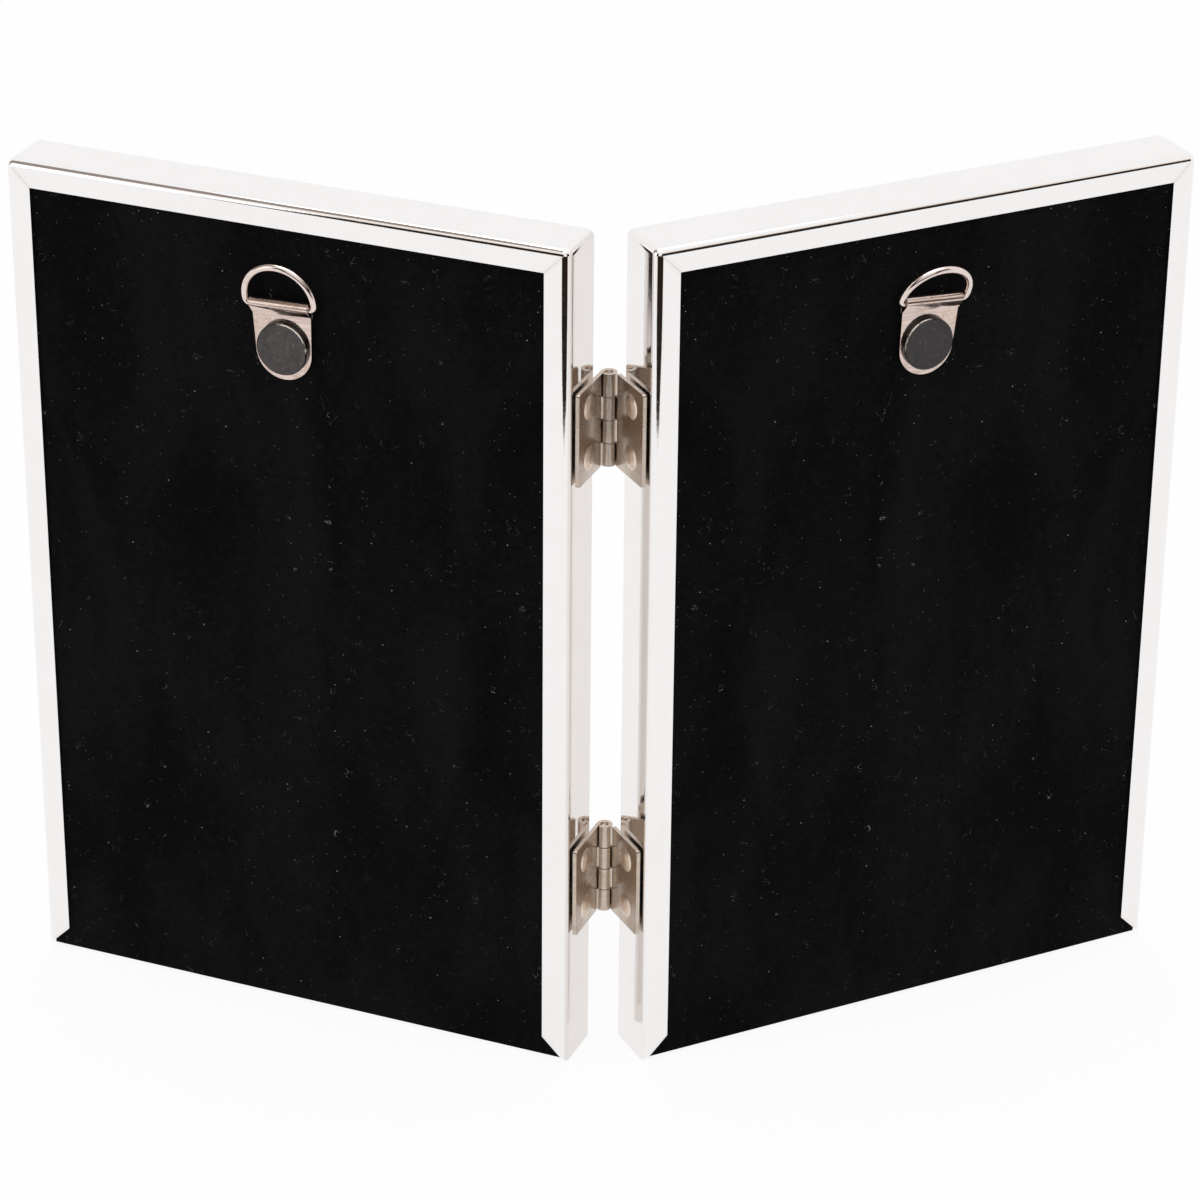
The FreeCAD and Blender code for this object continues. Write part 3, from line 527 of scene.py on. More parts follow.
def build_groups():
    """Masks and heights that the finishes are mixed from."""
    tree, given, result = new_group(
        "Hairline Scratches", [("Vector", "Vector", None), ("Spacing", "Float", 900.0)],
        [("Mask", "Float")])
    lines = None
    sets = (((0, 0.4, 0.3), (1, 0.02, 1)), ((0.5, -0.9, 0), (0.03, 1, 1)), ((0.2, 1.1, 0.8), (1, 1, 0.03)))
    for turn, squash in sets:
        field = noise(tree, stretch(tree, given[0], squash, turn), given[1], 1.0)
        line = between(tree, field, 0.70, 0.76)
        lines = line if lines is None else maths(tree, "MAXIMUM", lines, line)
    patchy = between(tree, noise(tree, given[0], 120.0), 0.42, 0.70)
    feed(tree, result[0], times(tree, lines, patchy))

    tree, given, result = new_group(
        "Handling Smudges", [("Vector", "Vector", None), ("Scale", "Float", 90.0)], [("Mask", "Float")])
    large = between(tree, noise(tree, given[0], given[1], 3.0, 0.6, 0.8), 0.40, 0.72)
    fine = noise(tree, given[0], times(tree, given[1], 9.0), 4.0, 0.7)
    feed(tree, result[0], times(tree, large, between(tree, fine, 0.3, 0.7)))

    tree, given, result = new_group(
        "Brushed Grain", [("Vector", "Vector", None), ("Scale", "Float", 1.0)], [("Mask", "Float")])
    sized = put(tree, "VectorMath", {"operation": "SCALE"}, Vector=given[0], Scale=given[1])
    streaks = noise(tree, stretch(tree, sized.outputs[0], (160, 4500, 4500)), 1.0, 3.0, 0.65)
    broad = noise(tree, stretch(tree, sized.outputs[0], (60, 900, 900)), 1.0, 2.0, 0.5)
    feed(tree, result[0], maths(tree, "ADD", times(tree, streaks, 0.65), times(tree, broad, 0.35)))

    tree, given, result = new_group(
        "Dust Specks", [("Vector", "Vector", None), ("Scale", "Float", 700.0), ("Size", "Float", 0.12)],
        [("Mask", "Float")])
    cells = put(tree, "TexVoronoi", None, Vector=given[0], Scale=given[1])
    chance = put(tree, "SeparateColor", None, Color=cells.outputs["Color"])
    some = between(tree, chance.outputs[0], 0.80, 0.82)
    size = times(tree, given[2], maths(tree, "ADD", chance.outputs[1], 0.35))
    speck = maths(tree, "LESS_THAN", cells.outputs["Distance"], size)
    feed(tree, result[0], times(tree, speck, some))

    tree, given, result = new_group(
        "Lint Fibres", [("Vector", "Vector", None), ("Scale", "Float", 130.0)], [("Mask", "Float")])
    bent = noise(tree, given[0], given[1], 1.5, 0.5, 2.2)
    thread = maths(tree, "COMPARE", bent, 0.5, 0.0035)
    patches = noise(tree, given[0], times(tree, given[1], 1.6), 1.0)
    feed(tree, result[0], times(tree, thread, between(tree, patches, 0.66, 0.69)))

    tree, given, result = new_group(
        "Velvet Pile", [("Vector", "Vector", None), ("Tuft", "Float", 4200.0)],
        [("Nap", "Float"), ("Height", "Float")])
    tufts = put(tree, "TexVoronoi", None, Vector=given[0], Scale=given[1])
    brushed = noise(tree, stretch(tree, given[0], (55, 55, 22), (0, 0.35, 0)), 1.0, 3.0, 0.6, 0.6)
    clumps = noise(tree, given[0], times(tree, given[1], 0.22), 3.0, 0.7)
    tips = maths(tree, "SUBTRACT", 1.0, tufts.outputs["Distance"])
    feed(tree, result[0], maths(tree, "ADD", times(tree, brushed, 0.6), times(tree, clumps, 0.4)))
    feed(tree, result[1], maths(tree, "ADD", tips, clumps))

    leaf = bpy.context.scene.leaf_sizes
    flat_slack, soiled = 0.0001, 0.0012
    tree, given, result = new_group(
        "Mitre Joints", [("Vector", "Vector", None), ("Width", "Float", 0.00006)],
        [("Line", "Float"), ("Near", "Float")])
    x, y, z = put(tree, "SeparateXYZ", None, Vector=given[0]).outputs
    inward = maths(tree, "SUBTRACT", x, leaf.wall)
    side = maths(tree, "MINIMUM", inward, maths(tree, "SUBTRACT", leaf.width, inward))
    ends = maths(tree, "MINIMUM", maths(tree, "SUBTRACT", leaf.height, z), z)
    off = maths(tree, "ABSOLUTE", maths(tree, "SUBTRACT", side, ends))
    within = maths(tree, "LESS_THAN", side, leaf.lip)
    clear = maths(tree, "GREATER_THAN", side, leaf.corner_round)
    back_face = maths(tree, "COMPARE", y, leaf.front + leaf.depth, flat_slack)
    front_face = maths(tree, "COMPARE", y, leaf.front, flat_slack)
    flat = times(tree, times(tree, within, clear), maths(tree, "MAXIMUM", back_face, front_face))
    line = between(tree, off, given[1], times(tree, given[1], 0.4))
    feed(tree, result[0], times(tree, line, flat))
    feed(tree, result[1], times(tree, between(tree, off, soiled, flat_slack), flat))


def new_material(name, hand):
    """A material with its tree, its Principled shader and coordinates in the leaf's own frame."""
    leaf = bpy.context.scene.leaf_sizes
    material = bpy.data.materials.new("%s %s" % (name, SIDES[hand]))
    material.use_nodes = True
    tree = material.node_tree
    source = put(tree, "TexCoord").outputs["Object"]
    local = put(tree, "Mapping", {"vector_type": "TEXTURE"}, Vector=source,
                Location=(0, leaf.pin_setback, 0), Rotation=(0, 0, -hand * leaf.half_opening),
                Scale=(hand, 1, 1))
    return material, tree, tree.nodes["Principled BSDF"], local.outputs[0]


def bump(tree, shader, height, distance, strength=1.0, under=None):
    node = put(tree, "Bump", None, Height=height, Distance=distance, Strength=strength, Normal=under)
    feed(tree, shader.inputs["Normal"], node.outputs[0])


def plate_finish(name, base, hand):
    """Bright silver plate on sheet metal: faint waves, handling marks, tarnish in the joints and a painted
    warm reflection on the outer face of the hinge-side wall.
    """
    colours = bpy.context.scene.finish_colours
    material, tree, shader, local = new_material(name, hand)
    scratch = use(tree, "Hairline Scratches", Vector=local, Spacing=1500.0)["Mask"]
    smudge = use(tree, "Handling Smudges", Vector=local, Scale=110.0)["Mask"]
    specks = use(tree, "Dust Specks", Vector=local, Scale=420.0, Size=0.07)["Mask"]
    joint = use(tree, "Mitre Joints", Vector=local)
    across = put(tree, "SeparateXYZ", None, Vector=local).outputs[0]
    off_wall = maths(tree, "ABSOLUTE", maths(tree, "SUBTRACT", across, bpy.context.scene.leaf_sizes.wall))
    # painted reflection: a warm tint on the outer face of the hinge-side wall, stronger on the right leaf
    tint = mix(tree, between(tree, off_wall, 0.0006, 0.0002, end=WALL_REFLECTION_SHARE[hand]), base, colours.painted_wall_reflection)
    tint = over(tree, tint, smudge, 0.05, colours.tarnish)
    tint = over(tree, tint, specks, 0.15, colours.tarnish)
    tint = over(tree, tint, joint["Near"], 0.10, colours.tarnish)
    tint = over(tree, tint, joint["Line"], 0.45, WEAR_AND_HIGHLIGHT["joint"])
    rough = times(tree, scratch, 0.10, times(tree, smudge, 0.06, 0.05))
    fill(tree, shader, Base_Color=tint, Roughness=rough, Metallic=1.0)
    waves = put(tree, "Bump", None, Height=noise(tree, local, 75.0, 1.0), Distance=0.00004, Strength=0.3)
    marks = times(tree, scratch, -0.3, noise(tree, local, 1400.0, 2.0))
    bump(tree, shader, marks, distance=0.000004, strength=0.6, under=waves.outputs[0])
    return material


def nickel_finish(name, base, hand, rough, grained, stained, grain_scale=1.0):
    """Nickel with a brushed grain, brown stains and scratches."""
    material, tree, shader, local = new_material(name, hand)
    grain = use(tree, "Brushed Grain", Vector=local, Scale=grain_scale)["Mask"]
    stain = use(tree, "Handling Smudges", Vector=local, Scale=260.0)["Mask"]
    scratch = use(tree, "Hairline Scratches", Vector=local, Spacing=3200.0)["Mask"]
    brown = tuple(part * left for part, left in zip(base, (0.62, 0.50, 0.42)))
    bright = tuple(min(part * 1.35, 1) for part in base)
    tint = over(tree, base, between(tree, grain, 0.35, 0.65), grained, toned(base, 0.62))
    tint = over(tree, tint, stain, stained, brown)
    tint = over(tree, tint, scratch, 0.35, bright)
    worn = times(tree, stain, 0.10, times(tree, grain, 0.10, rough))
    fill(tree, shader, Base_Color=tint, Roughness=worn, Metallic=1.0)
    marks = times(tree, scratch, -0.4, grain)
    bump(tree, shader, marks, distance=0.00002, strength=0.22)
    return material


def velvet_finish(name, base, hand):
    """Short black pile: brushed nap, a soft sheen, lint and dust caught in it."""
    material, tree, shader, local = new_material(name, hand)
    pile = use(tree, "Velvet Pile", Vector=local)
    lint = use(tree, "Lint Fibres", Vector=local, Scale=210.0)["Mask"]
    specks = use(tree, "Dust Specks", Vector=local, Scale=520.0, Size=0.06)["Mask"]
    dust = use(tree, "Dust Specks", Vector=local, Scale=1100.0, Size=0.10)["Mask"]
    nap = mix(tree, between(tree, pile["Nap"], 0.35, 0.65), toned(base, 0.4), toned(base, 2.2))
    nap = over(tree, nap, dust, 0.30, WEAR_AND_HIGHLIGHT["fine_dust"])
    nap = over(tree, nap, lint, 0.22, WEAR_AND_HIGHLIGHT["lint"])
    nap = over(tree, nap, specks, 0.75, WEAR_AND_HIGHLIGHT["dust"])
    rough = between(tree, pile["Nap"], 0.3, 0.7, start=0.95, end=0.82)
    fill(tree, shader, Base_Color=nap, Roughness=rough, Specular_IOR_Level=0.06, Sheen_Weight=0.03,
         Sheen_Roughness=0.45, Sheen_Tint=(0.80, 0.78, 0.82, 1))
    bump(tree, shader, pile["Height"], distance=0.00012)
    return material


def cap_finish(name, base, hand):
    """Blackened rivet cap: a scuffed, dusty face, darker on the left leaf as painted shade, and a painted
    highlight on the edge toward the hinges.
    """
    material, tree, shader, local = new_material(name, hand)
    scratch = use(tree, "Hairline Scratches", Vector=local, Spacing=2600.0)["Mask"]
    smudge = use(tree, "Handling Smudges", Vector=local, Scale=420.0)["Mask"]
    dust = use(tree, "Dust Specks", Vector=local, Scale=1500.0, Size=0.20)["Mask"]
    chamfer = bpy.context.scene.hanger_sizes.cap_edge
    scuff_and_shade = CAP_SCUFF_AND_SHADE[hand]
    rim_rough = 0.12
    to_leaf = leaf_frame(hand).inverted()
    rivet = frame["nodes"][SIDES[hand] + "_hanger_rivet"]
    top = max((to_leaf @ vertex.co).y for vertex in rivet.data.vertices)
    x, y, z = put(tree, "SeparateXYZ", None, Vector=local).outputs
    face = between(tree, y, top - 0.3 * chamfer, top - 0.1 * chamfer)
    # painted shade: the left cap's charcoal is darkened to half, by the same share that thins its scratches
    # and dust
    charcoal_with_shade = toned(base, scuff_and_shade)
    cloud = between(tree, noise(tree, local, 900.0, 4.0, 0.7), 0.35, 0.65)
    tint = mix(tree, cloud, toned(charcoal_with_shade, 0.65), toned(charcoal_with_shade, 1.1))
    tint = mix(tree, smudge, tint, toned(charcoal_with_shade, 1.9))
    tint = over(tree, tint, scratch, 0.50 * scuff_and_shade, WEAR_AND_HIGHLIGHT["scratch"])
    tint = over(tree, tint, dust, 0.35 * scuff_and_shade, WEAR_AND_HIGHLIGHT["cap_dust"])
    tint = mix(tree, face, toned(base, 0.18), tint)
    edge = times(tree, between(tree, y, top - 1.2 * chamfer, top - 0.8 * chamfer),
                 maths(tree, "SUBTRACT", 1.0, face))
    # painted highlight: a bright metallic arc on the chamfer, on the side toward the hinges and up, broken
    # into patches
    out, rise = hanger_spot(SIDES[hand])
    across = maths(tree, "SUBTRACT", out, x)
    above = maths(tree, "SUBTRACT", z, rise)
    toward_hinge = times(tree, across, 0.66, times(tree, above, 0.75))
    upper = between(tree, toward_hinge, 0.0026, 0.0036)
    patchy = between(tree, noise(tree, local, 700.0, 2.0), 0.34, 0.50)
    rubbed = times(tree, times(tree, edge, upper), patchy)
    matte = maths(tree, "SUBTRACT", times(tree, smudge, 0.30, 0.34), rim_rough)
    fill(tree, shader, Base_Color=mix(tree, rubbed, tint, WEAR_AND_HIGHLIGHT["rubbed"]), Metallic=rubbed,
         Roughness=times(tree, face, matte, rim_rough), Specular_IOR_Level=0.40)
    marks = maths(tree, "ADD", noise(tree, local, 2600.0, 3.0), scratch)
    bump(tree, shader, marks, distance=0.00001, strength=0.5)
    return material


def glass_finish(name, hand):
    """Clear glass with handling marks and dust."""
    material, tree, shader, local = new_material(name, hand)
    smudge = use(tree, "Handling Smudges", Vector=local, Scale=70.0)["Mask"]
    dust = use(tree, "Dust Specks", Vector=local, Scale=500.0, Size=0.07)["Mask"]
    tint = over(tree, WEAR_AND_HIGHLIGHT["clear_glass"], dust, 0.2, WEAR_AND_HIGHLIGHT["glass_dust"])
    fill(tree, shader, Base_Color=tint, Roughness=times(tree, smudge, 0.035, 0.004),
         Transmission_Weight=1.0, IOR=1.5)
    bump(tree, shader, noise(tree, local, 22.0, 1.0), distance=0.00004, strength=0.2)
    return material


def paper_finish(name, base, hand):
    """Unprinted pearl photographic paper."""
    material, tree, shader, local = new_material(name, hand)
    pearl = put(tree, "TexVoronoi", {"feature": "SMOOTH_F1"}, Vector=local, Scale=2600.0)
    cloud = noise(tree, local, 45.0, 4.0, 0.6)
    tint = mix(tree, between(tree, cloud, 0.3, 0.7), base, toned(base, 0.965))
    fill(tree, shader, Base_Color=tint, Roughness=times(tree, cloud, 0.12, 0.26))
    bump(tree, shader, pearl.outputs["Distance"], distance=0.00003, strength=0.35)
    return material


def board_finish(name, base, hand, corrugated):
    """Grey board or corrugated card, with its fibres and flecks."""
    material, tree, shader, local = new_material(name, hand)
    fibre = noise(tree, stretch(tree, local, (700, 2600, 1500)), 1.0, 4.0, 0.7)
    flecks = use(tree, "Dust Specks", Vector=local, Scale=900.0, Size=0.22)["Mask"]
    tint = mix(tree, between(tree, fibre, 0.3, 0.7), toned(base, 0.8), toned(base, 1.18))
    tint = over(tree, tint, flecks, 0.5, toned(base, 0.45))
    height = fibre
    if corrugated:
        flute = put(tree, "TexWave", {"bands_direction": "X"}, Vector=local, Scale=62.0,
                    Distortion=0.4, Detail=1.0).outputs["Fac"]
        height = times(tree, flute, 6.0, fibre)
        tint = over(tree, tint, flute, 0.16, toned(base, 0.6))
    rough = between(tree, fibre, 0.3, 0.7, start=0.78, end=0.94)
    fill(tree, shader, Base_Color=tint, Roughness=rough, Specular_IOR_Level=0.25)
    bump(tree, shader, height, distance=0.00003, strength=0.8)
    return material


def build_finishes():
    """The finishes of each leaf, whose marks follow the leaf's own frame, and one for the pins."""
    colours = bpy.context.scene.finish_colours
    dome = toned(colours.hinge, 1.5)
    made = {}
    for side, hand in HANDS:
        made[side] = {
            "silver": plate_finish("Silver Plate", colours.silver, hand),
            "hinge": nickel_finish("Hinge Nickel", colours.hinge, hand, rough=0.18,
                                   grained=0.35, stained=0.45, grain_scale=0.8),
            "rivet": nickel_finish("Rivet Nickel", dome, hand, rough=0.32, grained=0.22, stained=0.25),
            "strap": nickel_finish("Strap Nickel", colours.strap, hand, rough=0.06,
                                   grained=0.70, stained=0.85),
            "ring": nickel_finish("Ring Nickel", colours.ring, hand, rough=0.09,
                                  grained=0.15, stained=0.35),
            "cap": cap_finish("Rivet Cap", colours.cap, hand),
            "velvet": velvet_finish("Black Velvet", colours.velvet, hand),
            "glass": glass_finish("Glass", hand),
            "paper": paper_finish("Photo Paper", colours.paper, hand),
            "card": board_finish("Spacer Card", colours.card, hand, corrugated=True),
            "board": board_finish("Back Board", colours.board, hand, corrugated=False),
        }
    side, hand = HANDS[0]
    made[side]["pin"] = nickel_finish("Pin Nickel", colours.ring, hand, rough=0.14,
                                      grained=0.2, stained=0.5)
    return made


finishes = {}


# Pieces

def rail(name, run, depth, flange, set_in, rounded):
    """A mitred rail: x inward from its outer face, y from front to back, z along it."""
    leaf = bpy.context.scene.leaf_sizes
    metal, lip = leaf.metal, leaf.lip
    middle = run / 2
    piece = block(name, (0, 0, set_in), (lip, depth, run - set_in))
    if flange:
        pick(piece, "FACE", lambda c: near(c.x, lip) or near(c.z, 0) or near(c.z, run))
        bpy.ops.mesh.delete(type="FACE")
        pick(piece, "VERT", lambda c: near(c.x, lip) and near(c.y, depth))
        bpy.ops.transform.translate(value=(flange - lip, 0, 0))
        pick(piece, "EDGE", lambda c: near(c.x, lip) and near(c.y, 0) and near(c.z, middle))
        bpy.ops.mesh.extrude_edges_move(TRANSFORM_OT_translate={"value": (0, metal + leaf.sight_return, 0)})
    else:
        pick(piece, "FACE", lambda c: near(c.y, depth) or near(c.z, set_in) or near(c.z, run - set_in))
        bpy.ops.mesh.delete(type="FACE")
    mode("OBJECT")
    modify(piece, "SOLIDIFY", thickness=metal, offset=-1, use_even_offset=True)
    mode("EDIT")
    bends = [((0, 0), leaf.front_round, 6), ((metal, metal), leaf.front_round - metal, 4),
             ((lip, 0), leaf.sight_round, 3)]
    if flange:
        bends += [((0, depth), leaf.back_round, 10), ((metal, depth - metal), leaf.back_round - metal, 6)]
    for (x, y), radius, segments in bends:
        bevel_edges(
            piece, lambda c: near(c.x, x) and near(c.y, y) and near(c.z, middle), radius, segments)
    corner = leaf.corner_round
    ends = [(end, way) for end, way, wanted in ((run, 1, rounded[1]), (0, -1, rounded[0])) if wanted]
    for end, way in ends:
        for part in CORNER_STEPS:
            bisect((0, 0, end - way * corner * part), (0, 0, way))
            bisect((corner * part, 0, 0), (1, 0, 0))
    bisect((0, 0, 0), (1, 0, -1), trim=True)
    bisect((0, 0, run), (1, 0, 1), trim=True)
    mesh = bmesh.from_edit_mesh(piece.data)
    for vertex in mesh.verts:
        for end, way in ends:
            reach = Vector((corner - vertex.co.x, corner - way * (end - vertex.co.z)))
            if min(reach) > 0:
                pulled = reach * (max(reach) / reach.length)
                vertex.co.x = corner - pulled.x
                vertex.co.z = end - way * (corner - pulled.y)
    bmesh.update_edit_mesh(piece.data)
    mode("OBJECT")
    return piece


class PHOTOFRAME_OT_rails(bpy.types.Operator):
    """Roll and mitre the four plated rails of each leaf"""
    bl_idname = "photo_frame.rails"
    bl_label = "Plated Rails"

    def execute(self, context):
        leaf = context.scene.leaf_sizes
        hinge = context.scene.hinge_sizes
        wide, high = leaf.width, leaf.height
        shallow = leaf.metal + leaf.sight_return
        upright = (high, leaf.depth, leaf.flange, 0, (False, True))
        mirrored = Matrix.Scale(-1, 4, (1, 0, 0))
        rails = {
            "hinge_rail": (upright, Matrix.Translation((leaf.wall, leaf.front, 0))),
            "outer_rail": (upright, Matrix.Translation((leaf.wall + wide, leaf.front, 0)) @ mirrored),
            "top_rail": (
                (wide, leaf.depth, leaf.flange, 0, (True, True)),
                Matrix(((0, 0, 1, leaf.wall), (0, 1, 0, leaf.front), (-1, 0, 0, high), (0, 0, 0, 1)))),
            "bottom_rail": (
                (wide, shallow, 0, leaf.metal, (False, False)),
                Matrix(((0, 0, 1, leaf.wall), (0, 1, 0, leaf.front), (1, 0, 0, 0), (0, 0, 0, 1)))),
        }
        for side, hand in HANDS:
            for part, (form, place) in rails.items():
                node = "%s_%s" % (side, part)
                piece = rail(node + "_plate", *form)
                if part == "hinge_rail":
                    spots = [(0, y - leaf.front, z) for y, z in rivet_spots()]
                    drill(piece, rods(hinge.rivet_hole, spots, "x", hinge.drill_reach))
                settle(piece, leaf_frame(hand) @ place)
                finish_edges(piece, leaf.edge_round)
                take_over(piece, node, finishes[side]["silver"])
        return {"FINISHED"}


def rivet_spots():
    """Where the hinge rivets pass through the wall: y and z in the leaf's own frame."""
    spots = []
    hinge = bpy.context.scene.hinge_sizes
    for base in (hinge.lower_base, hinge.upper_base):
        for way in (-1, 1):
            spots.append((hinge.rivet_depth, base + (hinge.plate_height + way * hinge.rivet_pitch) / 2))
    return spots


class PHOTOFRAME_OT_sheets(bpy.types.Operator):
    """Finish the glass, the paper, the spacer card and the board of each leaf"""
    bl_idname = "photo_frame.sheets"
    bl_label = "Glass, Paper and Boards"

    def execute(self, context):
        kinds = {"glass": "glass", "photo_sheet": "paper", "spacer_card": "card", "back_board": "board"}
        for side, made in finishes.items():
            for node, finish in kinds.items():
                dress(frame["nodes"]["%s_%s" % (side, node)], made[finish])
        return {"FINISHED"}


class PHOTOFRAME_OT_velvet(bpy.types.Operator):
    """Model the velvet cover over each back board"""
    bl_idname = "photo_frame.velvet"
    bl_label = "Velvet Backs"

    def execute(self, context):
        velvet = context.scene.velvet_sizes
        reach = context.scene.hinge_sizes.drill_reach
        for side, hand in HANDS:
            low = (velvet.inner, velvet.front, velvet.foot)
            high = (velvet.outer, velvet.back, velvet.top)
            piece = block(side + "_velvet", low, high)
            pick(piece, "FACE", lambda c: near(c.y, velvet.front))
            bpy.ops.mesh.delete(type="FACE")
            bevel_edges(piece, lambda c: near(c.y, velvet.back), velvet.turn_round, 5)
            mode("OBJECT")
            modify(piece, "SOLIDIFY", thickness=velvet.thickness, offset=-1, use_even_offset=True)
            out, rise = hanger_spot(side)
            drill(piece, rods(velvet.rivet_hole, [(out, velvet.back, rise)], "y", reach))
            settle(piece, leaf_frame(hand))
            shade_flat_faces(piece)
            take_over(piece, side + "_velvet_cover", finishes[side]["velvet"])
        return {"FINISHED"}


class PHOTOFRAME_OT_hangers(bpy.types.Operator):
    """Finish the folded straps and the rivet caps, and bend the D-rings"""
    bl_idname = "photo_frame.hangers"
    bl_label = "Hangers"

    def execute(self, context):
        hanger = context.scene.hanger_sizes
        for side, hand in HANDS:
            made = finishes[side]
            refine(side + "_hanger_strap", side + "_strap", made["strap"], hanger.strap_burr)
            refine(side + "_hanger_rivet", side + "_rivet_cap", made["cap"], hanger.cap_burr)
            self.bend_ring(context, side, hand)
        return {"FINISHED"}

    def bend_ring(self, context, side, hand):
        hanger = context.scene.hanger_sizes
        bow = hanger.ring_width / 2 - hanger.wire_radius
        bend = hanger.ring_bend
        bpy.ops.object.select_all(action="DESELECT")
        bpy.ops.mesh.primitive_circle_add(
            vertices=WIRE_SIDES, radius=hanger.wire_radius, fill_type="NGON", rotation=(0, math.pi / 2, 0),
            location=(hanger.ring_butt / 2, 0, 0))
        piece = bpy.context.object
        piece.name = piece.data.name = side + "_ring_wire"
        bpy.ops.object.transform_apply(location=True, rotation=True, scale=True)
        mode("EDIT")
        pick(piece, "FACE", lambda c: True)
        reach = bow - bend - hanger.ring_butt / 2
        bpy.ops.mesh.extrude_region_move(TRANSFORM_OT_translate={"value": (reach, 0, 0)})
        self.turn_wire((bow - bend, 0, bend), BEND_STEPS)
        rise = hanger.ring_rise - bow - bend
        bpy.ops.mesh.extrude_region_move(TRANSFORM_OT_translate={"value": (0, 0, rise)})
        self.turn_wire((0, 0, hanger.ring_rise - bow), BOW_STEPS)
        bpy.ops.mesh.delete(type="FACE")
        bpy.ops.mesh.select_all(action="SELECT")
        bpy.ops.mesh.remove_doubles(threshold=MERGE)
        bpy.ops.mesh.normals_make_consistent(inside=False)
        mode("OBJECT")
        modify(piece, "MIRROR", use_axis=(True, False, False), use_mirror_merge=True,
               merge_threshold=MIRROR_MERGE)
        tilt = Matrix.Rotation(-getattr(hanger, side + "_tilt"), 4, "X")
        bar = Matrix.Translation((0, hanger.bar_out, hanger.bar_rise))
        settle(piece, hanger_frame(side, hand) @ bar @ tilt)
        shade(piece)
        take_over(piece, side + "_d_ring", finishes[side]["ring"])

    def turn_wire(self, centre, steps):
        """Sweep the wire's end a quarter turn in the ring's plane."""
        bpy.ops.mesh.spin(steps=steps, angle=math.pi / 2, center=centre, axis=(0, 1, 0))


class PHOTOFRAME_OT_hinges(bpy.types.Operator):
    """Finish the hinge plates, their rivets and the pins"""
    bl_idname = "photo_frame.hinges"
    bl_label = "Hinges"

    def execute(self, context):
        hinge = context.scene.hinge_sizes
        for side, made in finishes.items():
            for level in ("upper", "lower"):
                name = "%s_%s_" % (side, level)
                refine(name + "hinge_plate", name + "butt_plate", made["hinge"],
                       hinge.plate_burr)
            refine(side + "_hinge_rivets", side + "_dome_rivets", made["rivet"],
                   hinge.rivet_burr)
        for level in ("upper", "lower"):
            refine(level + "_hinge_pin", level + "_pin_rod", finishes["right"]["pin"],
                   hinge.rivet_burr)
        return {"FINISHED"}


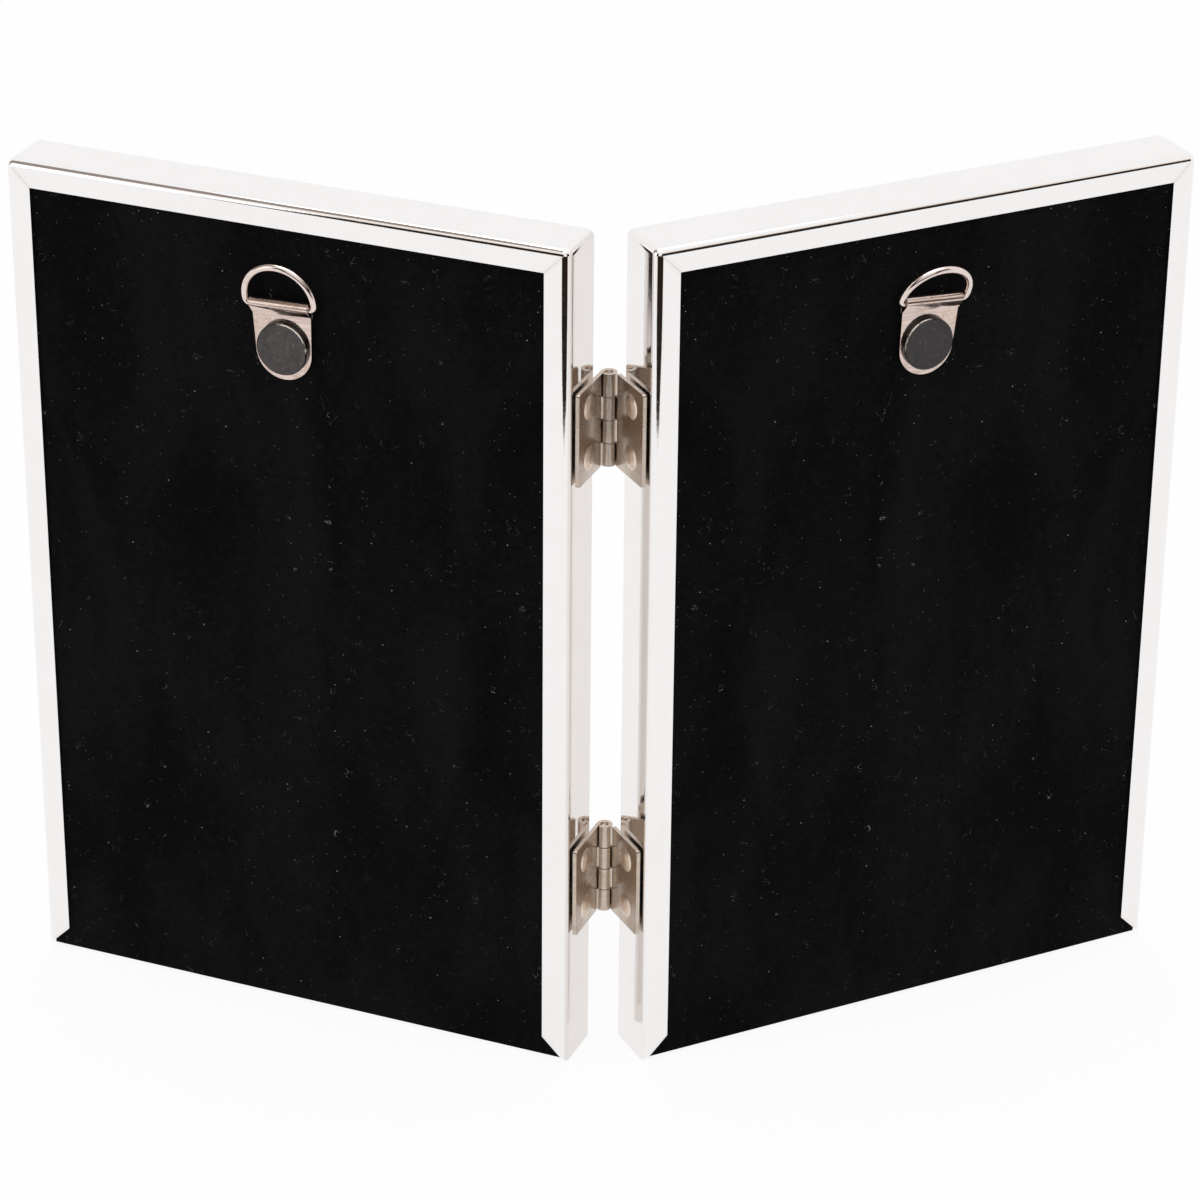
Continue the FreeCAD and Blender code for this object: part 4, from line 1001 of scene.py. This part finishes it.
class PHOTOFRAME_OT_studio(bpy.types.Operator):
    """Set the table, the soft light and the camera"""
    bl_idname = "photo_frame.studio"
    bl_label = "Studio"

    def execute(self, context):
        self.table(context)
        self.light(context)
        self.camera(context)
        context.scene.view_settings.view_transform = "Standard"
        return {"FINISHED"}

    def table(self, context):
        front = context.scene.studio_settings.table_front
        bpy.ops.object.select_all(action="DESELECT")
        bpy.ops.mesh.primitive_plane_add(size=1, location=(0, (front - TABLE_BACK) / 2, -TABLE_DROP))
        table = bpy.context.object
        table.name = table.data.name = "table"
        table.scale = (TABLE_WIDTH, front + TABLE_BACK, 1)
        bpy.ops.object.transform_apply(location=True, rotation=True, scale=True)
        material = bpy.data.materials.new("Table")
        material.use_nodes = True
        tree = material.node_tree
        tree.nodes.clear()
        paper = noise(tree, put(tree, "TexCoord").outputs["Object"], 60.0, 3.0)
        white = mix(tree, paper, (0.93, 0.93, 0.93), (0.90, 0.90, 0.90))
        lit = put(tree, "BsdfDiffuse", None, Color=white)
        bright = put(tree, "Emission", None, Color=WHITE + (1,), Strength=1.0)
        seen = direct_rays(tree, put(tree, "LightPath").outputs)
        blend = put(tree, "MixShader")
        feed(tree, blend.inputs[0], times(tree, seen, TABLE_GLOW))
        feed(tree, blend.inputs[1], lit.outputs[0])
        feed(tree, blend.inputs[2], bright.outputs[0])
        put(tree, "OutputMaterial", None, Surface=blend.outputs[0])
        table.data.materials.append(material)

    def light(self, context):
        studio = context.scene.studio_settings
        world = bpy.data.worlds.new("Soft Studio")
        context.scene.world = world
        world.use_nodes = True
        tree = world.node_tree
        tree.nodes.clear()
        ray = put(tree, "LightPath").outputs
        x, y, z = put(tree, "SeparateXYZ", None, Vector=put(tree, "TexCoord").outputs["Generated"]).outputs
        level = maths(tree, "SQRT", maths(tree, "ADD", times(tree, x, x), times(tree, y, y)))
        level = maths(tree, "MAXIMUM", level, 0.001)
        aside = maths(tree, "DIVIDE", x, level)
        below = maths(tree, "LESS_THAN", z, 0.0)
        ahead = times(tree, below, BELOW_SHIFT, maths(tree, "DIVIDE", y, level))
        corners = between(tree, maths(tree, "ABSOLUTE", aside), *CORNERS_ASIDE)
        open_sides = maths(tree, "MAXIMUM", below, corners)
        room = times(tree, between(tree, ahead, *ROOM_AHEAD), between(tree, z, *ROOM_TOP))
        border = times(tree, between(tree, ahead, *BORDER_AHEAD), between(tree, z, *BORDER_TOP))
        lifted = times(tree, between(tree, z, *CURTAIN_FOOT), between(tree, z, *CURTAIN_TOP))
        curtain = times(tree, between(tree, aside, *CURTAIN_ASIDE), lifted)
        mirrored = mix(tree, times(tree, border, open_sides), WHITE, BORDER_COLOUR)
        mirrored = mix(tree, curtain, mirrored, CURTAIN_COLOUR)
        mirrored = mix(tree, times(tree, room, open_sides), mirrored, ROOM_COLOUR)
        tint = mix(tree, ray["Is Glossy Ray"], WHITE, mirrored)
        day = studio.day_light
        power = times(tree, direct_rays(tree, ray), 1.0 - day, day)
        glow = put(tree, "Background", None, Color=tint, Strength=power)
        put(tree, "OutputWorld", None, Surface=glow.outputs[0])
        for name, (place, size, part) in SOFT_BOXES.items():
            self.soft_box(context, name, place, size, studio.lamp_power * part)

    def soft_box(self, context, name, place, size, power):
        lamp = bpy.data.lights.new(name, "AREA")
        lamp.shape = "RECTANGLE"
        lamp.size, lamp.size_y = size
        lamp.energy = power
        box = bpy.data.objects.new(name, lamp)
        box.location = place
        box.rotation_euler = (Vector(LAMP_AIM) - Vector(place)).to_track_quat("-Z", "Y").to_euler()
        context.scene.collection.objects.link(box)

    def camera(self, context):
        studio = context.scene.studio_settings
        data = bpy.data.cameras.new("camera")
        data.lens = studio.focal_length
        data.sensor_width = SENSOR_WIDTH
        camera = bpy.data.objects.new("camera", data)
        camera.location = studio.camera_place
        camera.rotation_euler = Euler(studio.camera_turn)
        context.scene.collection.objects.link(camera)
        context.scene.camera = camera


class PHOTOFRAME_PT_sidebar(bpy.types.Panel):
    """Steps that make the frame"""
    bl_idname = "PHOTOFRAME_PT_sidebar"
    bl_label = "Photo Frame"
    bl_space_type = "VIEW_3D"
    bl_region_type = "UI"
    bl_category = "Photo Frame"

    def draw(self, context):
        for step in STEPS:
            self.layout.operator(step.bl_idname)
        for name in PROPERTY_GROUPS:
            column = self.layout.column(heading=name.replace("_", " ").title())
            group = getattr(context.scene, name)
            for field in group.__annotations__:
                column.prop(group, field)


STEPS = (PHOTOFRAME_OT_studio, PHOTOFRAME_OT_rails, PHOTOFRAME_OT_sheets, PHOTOFRAME_OT_velvet,
         PHOTOFRAME_OT_hangers, PHOTOFRAME_OT_hinges)
PROPERTY_GROUPS = {
    "leaf_sizes": LeafSizes,
    "velvet_sizes": VelvetSizes,
    "hanger_sizes": HangerSizes,
    "hinge_sizes": HingeSizes,
    "finish_colours": FinishColours,
    "studio_settings": StudioSettings,
}


def register():
    for name, group in PROPERTY_GROUPS.items():
        bpy.utils.register_class(group)
        setattr(bpy.types.Scene, name, bpy.props.PointerProperty(type=group))
    for item in STEPS + (PHOTOFRAME_PT_sidebar,):
        bpy.utils.register_class(item)


def unregister():
    for item in reversed(STEPS + (PHOTOFRAME_PT_sidebar,)):
        bpy.utils.unregister_class(item)
    for name, group in PROPERTY_GROUPS.items():
        delattr(bpy.types.Scene, name)
        bpy.utils.unregister_class(group)


def main():
    register()
    build_groups()
    finishes.update(build_finishes())
    bpy.ops.photo_frame.studio()
    bpy.ops.photo_frame.rails()
    bpy.ops.photo_frame.sheets()
    bpy.ops.photo_frame.velvet()
    bpy.ops.photo_frame.hangers()
    bpy.ops.photo_frame.hinges()


if __name__ == "__main__":
    main()
